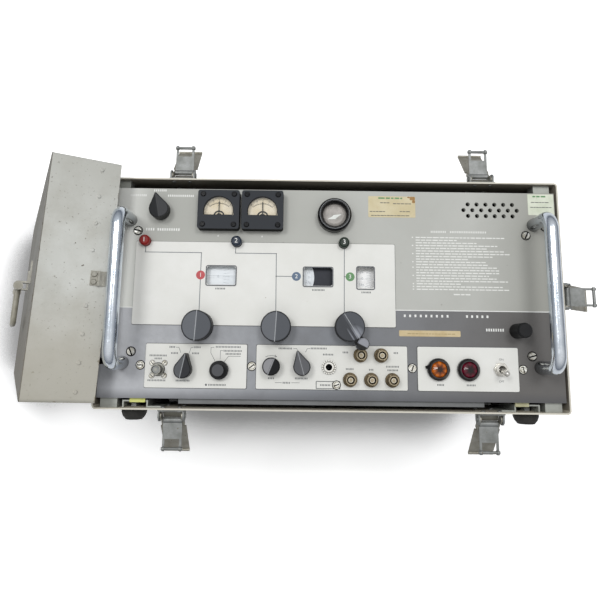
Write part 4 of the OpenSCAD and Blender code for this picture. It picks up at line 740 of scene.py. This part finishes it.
# Control plate legends in dark ink: words, lead lines, a dot, a frame and the switch's two words
plateLegend = {"tall": 1.75, "words": [
    (-188.5, -170.4, -67.8), (-183.2, -175.3, -70.9), (-189.3, -170.5, -93.0), (-168.4, -162.1, -59.0),
    (-142.6, -135.7, -59.0), (-166.5, -158.9, -65.2), (-144.7, -137.1, -65.2), (-160.3, -145.8, -93.0),
    (-120.4, -94.2, -58.3), (-112.2, -93.0, -62.3), (-110.0, -94.0, -65.4), (-126.8, -108.4, -96.9),
    (-55.3, -41.0, -59.1), (-21.9, -4.9, -58.7), (-9.2, 1.9, -64.8), (-65.7, -59.0, -89.6), (-37.9, -24.5, -89.4),
    (-50.5, -42.4, -93.9), (11.1, 17.3, -62.4), (64.1, 69.1, -62.4), (14.5, 22.8, -79.3), (38.4, 43.4, -79.7),
    (56.0, 69.8, -76.4), (57.4, 68.8, -80.0), (108.5, 115.8, -94.2), (138.8, 148.5, -94.2), (-12.0, -1.0, -95.8),
    (-123.2, -112.4, 2.4), (-21.1, -7.5, 2.2), (31.0, 41.4, 0.3)], "leadWidth": 0.42, "leads": [
    [(-161.6, -59.2), (-158.7, -59.2), (-156.6, -64.5)], [(-143.6, -59.0), (-146.0, -59.4), (-147.8, -65.0)],
    [(-122.2, -58.8), (-125.4, -59.1), (-125.4, -64.5), (-121.0, -72.5)],
    [(-112.9, -62.1), (-115.5, -62.1), (-115.6, -70.9)], [(-94.7, -67.8), (-107.0, -67.8), (-111.1, -73.3)],
    [(-39.9, -59.0), (-36.5, -59.0), (-35.9, -61.0)], [(-22.8, -58.8), (-25.6, -59.1), (-27.4, -62.5)],
    [(-58.2, -93.9), (-51.6, -93.9)], [(-41.4, -93.8), (-33.4, -93.8)],
    [(-68.6, -68.0), (-66.0, -66.9), (-63.1, -66.5), (-60.0, -66.7), (-57.4, -67.6)],
    [(-58.8, -66.0), (-57.2, -67.6), (-59.4, -68.0)]],
    "dot": (-129.2, -96.9, 1.1), "frame": (-16.5, 8.7, -99.7, -91.7), "frameCorner": 0.6, "frameWidth": 0.8,
    "switch": [("ON", 175.5, -67.8), ("OFF", 174.8, -90.0)], "switchSize": 3.0}
bm = bmesh.new()
for x0, x1, y in plateLegend["words"]:
    addMarks(bm, x0, x1, y, plateLegend["tall"], inkZ)
for lead in plateLegend["leads"]:
    addLine(bm, lead, plateLegend["leadWidth"], inkZ, inkZ + inkTall)
addDisc(bm, *plateLegend["dot"], inkZ, inkZ + inkTall)
addPlate(bm, *plateLegend["frame"], inkZ, inkZ + inkTall, plateLegend["frameCorner"], plateLegend["frameWidth"], 2)
for word, x, y in plateLegend["switch"]:
    addFigure(bm, word, plateLegend["switchSize"], x, y, inkZ)
finishPiece(bm, "plateLegends", "inkWorn")
print("legends printed")

# Figures on the lock buttons
buttonFigure = {"size": 7.0, "places": [(-199.2, 52.6), (-102.0, 52.6), (12.3, 52.6)]}
for i, (x, y) in enumerate(buttonFigure["places"], 1):
    bm = bmesh.new()
    addFigure(bm, str(i), buttonFigure["size"], x, y, topOf(f"lock_button_{i}"))
    finishPiece(bm, f"lockButtonFigure{i}", "inkWhite", f"lock_button_{i}")

# Scales on the dials behind the windows, turning with them: centre, figure radius, tick radii, count of figures
dialScale = {"dials": [((-145.7, 16.4), 24, 30, 36, 12), ((-45.0, 16.4), 20.5, 23.0, 25.6, 24),
                       ((11.2, 16.4), 22, 27, 31.5, 20)],
             "longer": 1.2, "width": 0.3, "tall": 0.04, "size": 4.0, "band": (26.2, 47.4)}
for i, ((x, y), figureAt, tickFrom, tickTo, count) in enumerate(dialScale["dials"], 1):
    top = topOf(f"dial_{i}") + lift
    bm = bmesh.new()
    for k in range(count * 5):
        r0 = tickFrom - (dialScale["longer"] if k % 5 == 0 else 0)
        addLine(bm, spoke(x, y, 2 * math.pi * k / (count * 5), r0, tickTo), dialScale["width"], top,
                top + dialScale["tall"])
    for k in range(count):
        a = 2 * math.pi * k / count
        addFigure(bm, str(k * 10), dialScale["size"], x + figureAt * math.cos(a), y + figureAt * math.sin(a), top, a)
    finishPiece(bm, f"dialScale{i}", "inkPale", f"dial_{i}")
    if i == 2:
        bm = bmesh.new()
        addRing(bm, x, y, *dialScale["band"], top, top + inkTall, steps=72)
        finishPiece(bm, "dialBand", "dialSlate", "dial_2")

# Meter cards: an arc with ticks and plain figures, and the dark arches over the movement
meterCard = {"centres": [(-121.6, 86.0), (-74.9, 86.0)], "pivot": -8.0, "arc": 15.6, "start": 50, "sweep": 80,
             "low": -6.2, "line": 0.35, "ticks": 21, "tick": (1.1, 2.0), "tickWidth": 0.3, "tall": 0.04,
             "figures": ("20", "10", "0", "10", "20"), "figureAt": 19.2, "figureSize": 2.3,
             "arches": [(4.5, 6.1), (1.6, 3.2)], "archTall": 0.3}
cardTop = topOf("meter_scales") + lift
tickTop = cardTop + meterCard["tall"]
bm = bmesh.new()
for x, y in meterCard["centres"]:
    py, arc = y + meterCard["pivot"], meterCard["arc"]
    start, sweep = meterCard["start"], meterCard["sweep"]
    addRing(bm, x, py, arc, arc + meterCard["line"], cardTop, tickTop, start, sweep, 24)
    for k in range(meterCard["ticks"]):
        a = math.radians(start + sweep * k / (meterCard["ticks"] - 1))
        reach = meterCard["tick"][k % 5 == 0]
        addLine(bm, spoke(x, py, a, arc, arc + reach), meterCard["tickWidth"], cardTop, tickTop)
    for k, figure in enumerate(meterCard["figures"]):
        a = math.radians(start + sweep - sweep * k / (len(meterCard["figures"]) - 1))
        r = meterCard["figureAt"]
        addFigure(bm, figure, meterCard["figureSize"], x + r * math.cos(a), py + r * math.sin(a), cardTop,
                  a - math.pi / 2)
    for r0, r1 in meterCard["arches"]:
        addRing(bm, x, y + meterCard["low"], r0, r1, cardTop, cardTop + meterCard["archTall"], 0, 180, 20)
finishPiece(bm, "meterMarks", "needleLacquer")

# Dark line along the edge of each meter's window: an arch and a sill
meterEdge = {"down": -1.5, "arch": (15.3, 15.95), "start": -16, "sweep": 212, "half": 15.0, "sill": (-6.25, -5.85)}
paneTop = topOf("meter_glasses") + lift
edgeTop = paneTop + meterCard["tall"]
bm = bmesh.new()
for x, y in meterCard["centres"]:
    addRing(bm, x, y + meterEdge["down"], *meterEdge["arch"], paneTop, edgeTop, meterEdge["start"],
            meterEdge["sweep"], 40)
    addBlock(bm, x - meterEdge["half"], x + meterEdge["half"], *(y + v for v in meterEdge["sill"]), paneTop, edgeTop)
finishPiece(bm, "meterEdges", "needleLacquer")
print("dials and meters marked")

# Light lines rubbed along the knobs' ridges: middle, turn, reach ahead and behind, width
ridges = {"tuning_knob_1": (-139.1, -37.2, -3, 15.0, 15.0, 0.8), "tuning_knob_2": (-58.2, -37.2, -3, 15.0, 15.0, 0.8),
          "crank": (17.7, -36.2, -148, 14.6, 13.5, 0.7), "gain_knob": (-62.4, -77.4, -22, 8.6, 8.6, 0.5),
          "range_knob": (-152.4, -81.6, -11, 15.8, 8.0, 0.6), "audio_knob": (-31.1, -77.5, 16, 15.8, 8.0, 0.5)}
ridgeZ = (-0.02, 0.06)                        # sunk into the knob and standing proud of it
for name, (x, y, turn, ahead, behind, width) in ridges.items():
    bm = bmesh.new()
    addLine(bm, spoke(x, y, math.radians(90 + turn), -behind, ahead), width, *(topOf(name) + z for z in ridgeZ))
    finishPiece(bm, name.replace("_", "") + "Ridge", "ridgeRubAndRimHighlight", name)

# Faceted jewels in the lamps, in place of the plain lenses: two rows of facets and a small table on top
jewels = {"sides": 14, "girdle": 0.4, "rows": [(0.80, 0.34), (0.45, 0.15)],
          "lamps": [("amberJewel", "lamp_lens_amber", "amberGlass", "amber_glass"),
                    ("rubyJewel", "lamp_lens_red", "rubyGlass", "red_glass")]}
for name, node, glass, slot in jewels["lamps"]:
    low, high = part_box(node)
    r, tall = (high.x - low.x) / 2, high.z - low.z
    girdle = tall * jewels["girdle"]
    seat = Matrix.Translation(((low.x + high.x) / 2, (low.y + high.y) / 2, low.z))
    bm = bmesh.new()
    bmesh.ops.create_cone(bm, cap_ends=True, segments=jewels["sides"], radius1=r, radius2=r, depth=girdle,
                          matrix=seat @ Matrix.Translation((0, 0, girdle / 2)))
    for share, rise in jewels["rows"]:
        top = max(bm.faces, key=lambda f: f.calc_center_median().z)
        grown = bmesh.ops.extrude_discrete_faces(bm, faces=[top])["faces"][0]
        bmesh.ops.scale(bm, vec=(share, share, 1), verts=grown.verts, space=seat.inverted())
        bmesh.ops.rotate(bm, cent=seat.translation, matrix=Matrix.Rotation(math.pi / jewels["sides"], 3, "Z"),
                         verts=grown.verts)
        bmesh.ops.translate(bm, vec=(0, 0, tall * rise), verts=grown.verts)
    bmesh.ops.triangulate(bm, faces=[f for f in bm.faces if len(f.verts) == 4 and abs(f.normal.z) > 0.05])
    piece = finishPiece(bm, name, glass)
    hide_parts(node)

# Black catch beside the amber lamp, held in its bezel
lampCatch = {"box": (96.6, 100.2, -77.6, -74.6), "tall": 4.2, "turn": 0.35, "round": 0.5}
bm = bmesh.new()
addBlock(bm, *lampCatch["box"], plateTop, plateTop + lampCatch["tall"], lampCatch["turn"])
bmesh.ops.bevel(bm, geom=bm.edges[:], offset=lampCatch["round"] * mm, affect="EDGES", segments=2, profile=0.5,
                material=-1)
finishPiece(bm, "lampCatch", "catchBlackAndScrewShade", smooth=40)

# Insulation and pin hole in the output jacks, a wide hole and a zinc ring in the input jack; the holes are black
# discs, painted shade down them
jackFace = {"outputs": [(29.4, -65.0), (50.8, -65.0), (18.6, -90.0), (40.3, -90.0), (62.1, -90.0)],
            "input": (-179.0, -81.8), "insulator": (0.6, 2.5), "ring": (1.52, 3.6), "ringZ": (-4.0, -1.4),
            "hole": 0.85, "inputHole": 1.5, "holeZ": (-2.9, -1.3)}
ringZ, holeZ = ([topOf("coax_jacks") + z for z in jackFace[key]] for key in ("ringZ", "holeZ"))
pins, holes, bm = bmesh.new(), bmesh.new(), bmesh.new()
for x, y in jackFace["outputs"]:
    addRing(pins, x, y, *jackFace["insulator"], *ringZ, steps=20)
    addDisc(holes, x, y, jackFace["hole"], *holeZ, steps=16)
addDisc(holes, *jackFace["input"], jackFace["inputHole"], *holeZ, steps=16)
addRing(bm, *jackFace["input"], *jackFace["ring"], *ringZ, steps=24)
finishPiece(bm, "inputJackRing", "dullZinc", smooth=40)
finishPiece(pins, "jackInsulators", "jackInsulator", smooth=40)
finishPiece(holes, "jackHoles", "bezelBlackAndHoleShade")

# Painted shade in the slots and round the heads of the panel's screws: place, head radius and height, slot angle
signs = [(sx, sy) for sx in (-1, 1) for sy in (-1, 1)]
screwDirt = {"corner": [(208.5 * sx, 64 * sy, 4.2, 2.4, 40 * sx + 25 * sy) for sx, sy in signs],
             "row": [(x, -77.7, 3.2, 1.9, 35 * i) for i, x in enumerate((-198, -82.8, 83.4, 198.2))],
             "trim": [(4.7, -95.6, 3.0, plateTop + 1.2, 20)],
             "input": [(-179 + sx * 6.4, -81.8 + sy * 6.4, 2.0, plateTop + 1.2, 50 * sx) for sx, sy in signs],
             "meter": [(x + sx * 16.5, 86 + sy * 16.5, 2.5, 13.2, 60 * sx + 40 * sy)
                       for x in (-121.6, -74.9) for sx, sy in signs]}
# For each kind: the height it sits at, the width of its washer or of a bare gap, and of the painted shade round that
headGap = 0.02
screwSeat = {"corner": (0, headGap, 0.9), "row": (0, 0.8, 0.9), "trim": (plateTop, 0.8, 0.9),
             "input": (plateTop, 0.5, 0.5), "meter": (12, headGap, 0.5)}
slotCut = {"reach": 0.8, "width": 0.36, "deep": 0.5, "proud": 0.02}
washerTall, inputRing = 0.49, (6.45, 7.0)
darkening, washers = bmesh.new(), bmesh.new()
for kind, places in screwDirt.items():
    for x, y, r, tall, slotTurn in places:
        if kind != "meter":
            half = r * slotCut["reach"]
            addLine(darkening, spoke(x, y, math.radians(slotTurn), -half, half), r * slotCut["width"],
                    tall - slotCut["deep"], tall + slotCut["proud"])
        seat, washer, wide = screwSeat[kind]
        seat, rim = seat + lift, r + washer
        addRing(darkening, x, y, rim, rim + wide, seat, seat + inkTall, steps=32)
        if washer > headGap:
            addRing(washers, x, y, r + headGap, rim, seat, seat + washerTall, steps=32)
# A painted shade ring round the input jack's nut
addRing(darkening, *jackFace["input"], *inputRing, inkZ, inkZ + inkTall, steps=36)
finishPiece(darkening, "screwDirt", "catchBlackAndScrewShade")
finishPiece(washers, "screwWashers", "platedScrewNickel")

# The eye's silvered shield, a cap with two tapered arms under the glass, and a painted highlight on the edge of its
# bezel
eye = {"x": 2.0, "y": 82.3, "down": -2.0, "tilt": 18, "arm": 8.2, "cap": 2.6, "tall": 0.1, "line": (15.65, 15.95),
       "lineZ": (-0.5, 0.05)}
arm, cap = eye["arm"], eye["cap"]
outline = [(-arm, -0.3), (-cap, -cap * 0.75), (0, -cap), (cap, -cap * 0.55),
           (arm, 0.5), (cap * 0.9, cap * 0.6), (0, cap * 0.8), (-cap, cap * 0.4)]
tilted = Matrix.Rotation(math.radians(eye["tilt"]), 2)
eyeTop, bezelTop = topOf("eye_tube") + lift, topOf("eye_bezel")
bm = bmesh.new()
corners = [tilted @ Vector(corner) for corner in outline]
raiseFaces(bm, [bm.faces.new([bm.verts.new(spot(eye["x"] + c.x, eye["y"] + eye["down"] + c.y, eyeTop))
                              for c in corners])], eye["tall"])
finishPiece(bm, "eyeShield", "shieldSilver")
# Painted highlight: a pale line round the edge of the eye's bezel
bm = bmesh.new()
addRing(bm, eye["x"], eye["y"], *eye["line"], *(bezelTop + z for z in eye["lineZ"]), steps=64)
finishPiece(bm, "eyeRimLine", "ridgeRubAndRimHighlight")

# Knurl round the phones jack's nut
knurl = {"count": 18, "reach": (5.6, 6.95), "width": 0.6, "z": (0.4, 2.75)}
bm = bmesh.new()
for k in range(knurl["count"]):
    ridge = spoke(phonesLook["x"], phonesLook["y"], 2 * math.pi * k / knurl["count"], *knurl["reach"])
    addLine(bm, ridge, knurl["width"], *(plateTop + z for z in knurl["z"]))
finishPiece(bm, "phonesKnurl", "lampNickel")

# Paper left stuck on the panel, bare but for faint ruled bars, and a burnt corner
papers = {"yellowTicket": ((39.0, 90.0, 82.2, 105.7), "stickerPaper"),
          "greenTicket": ((212.4, 240.6, 86.8, 110.2), "tagPaper"),
          "tapeStrip": ((70.3, 134.5, -45.0, -38.8), "tapePaper")}
paperTop, paperCorner, stainTop, stainCorner = 0.16, 0.8, 0.19, 0.9
# Ink, height of the bars, their shortest and longest, then each line's ends, place and seed
paperLines = {"ticketHeads": ("inkGreen", 1.6, 2.6, 7.0, [(50.0, 76.0, 103.6, 5), (218.0, 232.0, 107.6, 6)]),
              "ticketLines": ("inkDarkAndEdgeShade", 0.8, 1.8, 4.5, [
                  (52, 62, 98.4, 7), (66, 87, 97.5, 8), (40.5, 57, 88.6, 9), (73, 84, 88.8, 10), (42, 84, 84.2, 11),
                  (216, 236, 101, 13), (215, 238, 95.5, 14)]),
              "tapeLines": ("inkTape", 0.9, 1.5, 4.0, [(79, 130, -42.2, 12)])}
paperBurns = [(84.0, 89.8, 101.6, 105.5), (86.6, 89.8, 98.4, 101.7), (81.5, 84.2, 103.9, 105.5)]
for name, (box, paper) in papers.items():
    bm = bmesh.new()
    addPlate(bm, *box, lift, paperTop, paperCorner, steps=2)
    finishPiece(bm, name, paper)
for name, (ink, tall, shortest, longest, lines) in paperLines.items():
    bm = bmesh.new()
    for x0, x1, y, seed in lines:
        addWords(bm, x0, x1, y, tall, paperTop, seed, shortest, longest)
    finishPiece(bm, name, ink)
bm = bmesh.new()
for box in paperBurns:
    addPlate(bm, *box, paperTop - lift, stainTop, stainCorner, steps=2)
finishPiece(bm, "ticketStain", "stainBrown")

# Web between each latch lever's cheeks, at the back of its hub, in the lever's own frame
latch = {"out": 6.5, "down": 10, "angle": 43, "x": (-1.2, 6.6), "half": 9.9, "z": (-4.5, -3.9)}
walls = [(-165, 122.5, 90), (165, 122.5, 90), (-165, -122.5, -90), (165, -122.5, -90), (245, 0, 0), (-245, 0, 180)]
middle = Matrix.Translation((sum(latch["x"]) / 2 * mm, 0, sum(latch["z"]) / 2 * mm))
size = Matrix.Diagonal([(latch["x"][1] - latch["x"][0]) * mm, 2 * latch["half"] * mm,
                        (latch["z"][1] - latch["z"][0]) * mm, 1])
for i, (x, y, facing) in enumerate(walls, 1):
    hinge = Matrix.Translation(spot(x, y, -latch["down"])) @ Matrix.Rotation(math.radians(facing), 4, "Z")
    hinge = hinge @ Matrix.Translation((latch["out"] * mm, 0, 0))
    swung = hinge @ Matrix.Rotation(math.radians(latch["angle"]), 4, "Y")
    bm = bmesh.new()
    bmesh.ops.create_cube(bm, size=1, matrix=swung @ middle @ size)
    finishPiece(bm, f"latchWeb{i}", "tanZinc", f"latch_lever_{i}")

# Two screw heads on each of the lid's keepers, placed along its length, width and depth
keeper = {"out": 2.0, "across": (-3.9, 3.9), "depth": 14.6, "foot": 3.1, "top": 2.2, "tall": 1.6}
keepers = [(0, 0, 0), (-490, 0, 180)] + [(x, side * 122.5, side * 90) for x in (-410, -80) for side in (-1, 1)]
lidTurned = Matrix.Translation(Vector(lidPlace["origin"]) * mm) @ lidTurn.transposed().to_4x4()
bm = bmesh.new()
for x, y, facing in keepers:
    wall = lidTurned @ Matrix.Translation((x * mm, y * mm, 0)) @ Matrix.Rotation(math.radians(facing), 4, "Z")
    for across in keeper["across"]:
        head = wall @ Matrix.Translation(Vector((keeper["out"], across, keeper["depth"])) * mm)
        bmesh.ops.create_cone(bm, cap_ends=True, segments=24, radius1=keeper["foot"] * mm, radius2=keeper["top"] * mm,
                              depth=keeper["tall"] * mm, matrix=head @ Matrix.Rotation(math.pi / 2, 4, "Y"))
finishPiece(bm, "keeperHeads", "strapPaint", "lid", 40)

# Nylon pads at the ends of the skids
skidPads = {"skidPadLeft": (-208.3, -192.4, "padNylon"), "skidPadRight": (190.2, 204.4, "padFaded")}
padY, padZ = (-115.6, -111.4), (-7.0, -4.9)
for name, (x0, x1, nylon) in skidPads.items():
    bm = bmesh.new()
    addBlock(bm, x0, x1, *padY, *padZ)
    finishPiece(bm, name, nylon)
print("small parts placed")

# Camera where the photograph was taken from, nearly over the panel
shot = {"place": (-0.0362, -0.0644, 1.0250), "right": (0.99991, 0.01239, 0.00511), "up": (-0.01307, 0.98572, 0.16791),
        "back": (-0.00296, -0.16796, 0.98579), "lens": 34.8, "sensor": 36.0, "shiftY": -0.075, "clip": (0.02, 60)}
camera = bpy.data.objects.new("camera", bpy.data.cameras.new("camera"))
camera.data.lens, camera.data.sensor_width, camera.data.shift_y = shot["lens"], shot["sensor"], shot["shiftY"]
camera.data.clip_start, camera.data.clip_end = shot["clip"]
cameraTurn = Matrix([shot["right"], shot["up"], shot["back"]]).transposed().to_4x4()
camera.matrix_world = Matrix.Translation(shot["place"]) @ cameraTurn
bpy.context.scene.collection.objects.link(camera)
bpy.context.scene.camera = camera

# White floor: matt card that keeps the shadow, white to the eye and in mirrors, with painted shade from ambient
# occlusion close under the case
card = {"size": 9.0, "z": -0.0006, "color": "F4F4F4", "seen": 1.55, "glow": 0.08, "shelterReach": 0.11,
        "shelter": (0.78, 0.965), "darkest": 0.2}
bm = bmesh.new()
bmesh.ops.create_grid(bm, x_segments=1, y_segments=1, size=card["size"], matrix=Matrix.Translation((0, 0, card["z"])))
floorMesh = bpy.data.meshes.new("floor")
bm.to_mesh(floorMesh)
bm.free()
floor = bpy.data.objects.new("floor", floorMesh)
bpy.context.scene.collection.objects.link(floor)
floor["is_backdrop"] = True
floorCard = bpy.data.materials.new("whiteCard")
floorCard.use_nodes = True
tree = floorCard.node_tree
tree.nodes.clear()
lightPath = addNode(tree, "LightPath").outputs
seen = addNode(tree, "Math", {0: lightPath["Is Camera Ray"], 1: lightPath["Is Glossy Ray"]}, operation="MAXIMUM")
seenAll = addNode(tree, "Math", {0: seen, 1: lightPath["Is Transmission Ray"]}, operation="MAXIMUM")
glowShare = addNode(tree, "Math", {0: seenAll, 1: card["glow"]}, operation="MULTIPLY")
cardTone = addNode(tree, "Mix", {
    0: lightPath["Is Camera Ray"], 6: card["color"], 7: (*[card["seen"]] * 3, 1.0)}, data_type="RGBA")
shelter = addNode(tree, "AmbientOcclusion", {"Distance": card["shelterReach"]}, samples=16)
contactShadeShare = addNode(tree, "MapRange", {
    "Value": shelter.outputs["AO"], "From Min": card["shelter"][0], "From Max": card["shelter"][1],
    "To Min": card["darkest"]})
cardShade = addNode(tree, "VectorMath", {0: cardTone, 1: contactShadeShare}, operation="MULTIPLY")
matt = addNode(tree, "BsdfDiffuse", {"Color": cardShade})
glow = addNode(tree, "Emission", {"Color": (1, 1, 1, 1), "Strength": 1.0})
cardMix = addNode(tree, "MixShader", {0: glowShare, 1: matt, 2: glow})
addNode(tree, "OutputMaterial", {"Surface": cardMix})
floorMesh.materials.append(floorCard)

# Studio light: two soft lamps high beyond the panel's top edge, and an even sky that is white to the camera
lamps = {"rightLamp": ((0.6, 0.75, 2.9), 0.8, 16.5), "leftLamp": ((-1.0, 0.65, 2.9), 0.8, 20.5)}
lampAim = Vector((0, 0, 0.4))
skyLook = {"low": "7C828C", "high": "FFFFFF", "highFrom": 0.9, "strength": 0.73}
for name, (place, size, power) in lamps.items():
    lamp = bpy.data.lights.new(name, "AREA")
    lamp.shape, lamp.size, lamp.energy = "DISK", size, power
    holder = bpy.data.objects.new(name, lamp)
    holder.location = place
    holder.rotation_euler = (lampAim - Vector(place)).to_track_quat("-Z", "Y").to_euler()
    bpy.context.scene.collection.objects.link(holder)
sky = bpy.data.worlds.new("studioSky")
sky.use_nodes = True
tree = sky.node_tree
tree.nodes.clear()
skyUp = addNode(tree, "SeparateXYZ", {0: addNode(tree, "TexCoord").outputs["Generated"]}).outputs[2]
skyShare = addNode(tree, "MapRange", {"Value": skyUp, "From Min": 0.0, "From Max": skyLook["highFrom"]})
skyColor = addNode(tree, "Mix", {0: skyShare, 6: skyLook["low"], 7: skyLook["high"]}, data_type="RGBA")
skyLit = addNode(tree, "Background", {"Color": skyColor, "Strength": skyLook["strength"]})
skyWhite = addNode(tree, "Background", {"Color": (1, 1, 1, 1), "Strength": 1.0})
isCamera = addNode(tree, "LightPath").outputs["Is Camera Ray"]
skyMix = addNode(tree, "MixShader", {0: isCamera, 1: skyLit, 2: skyWhite})
addNode(tree, "OutputWorld", {"Surface": skyMix})
bpy.context.scene.world = sky
bpy.context.scene.view_settings.view_transform = "Standard"

low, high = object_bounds()
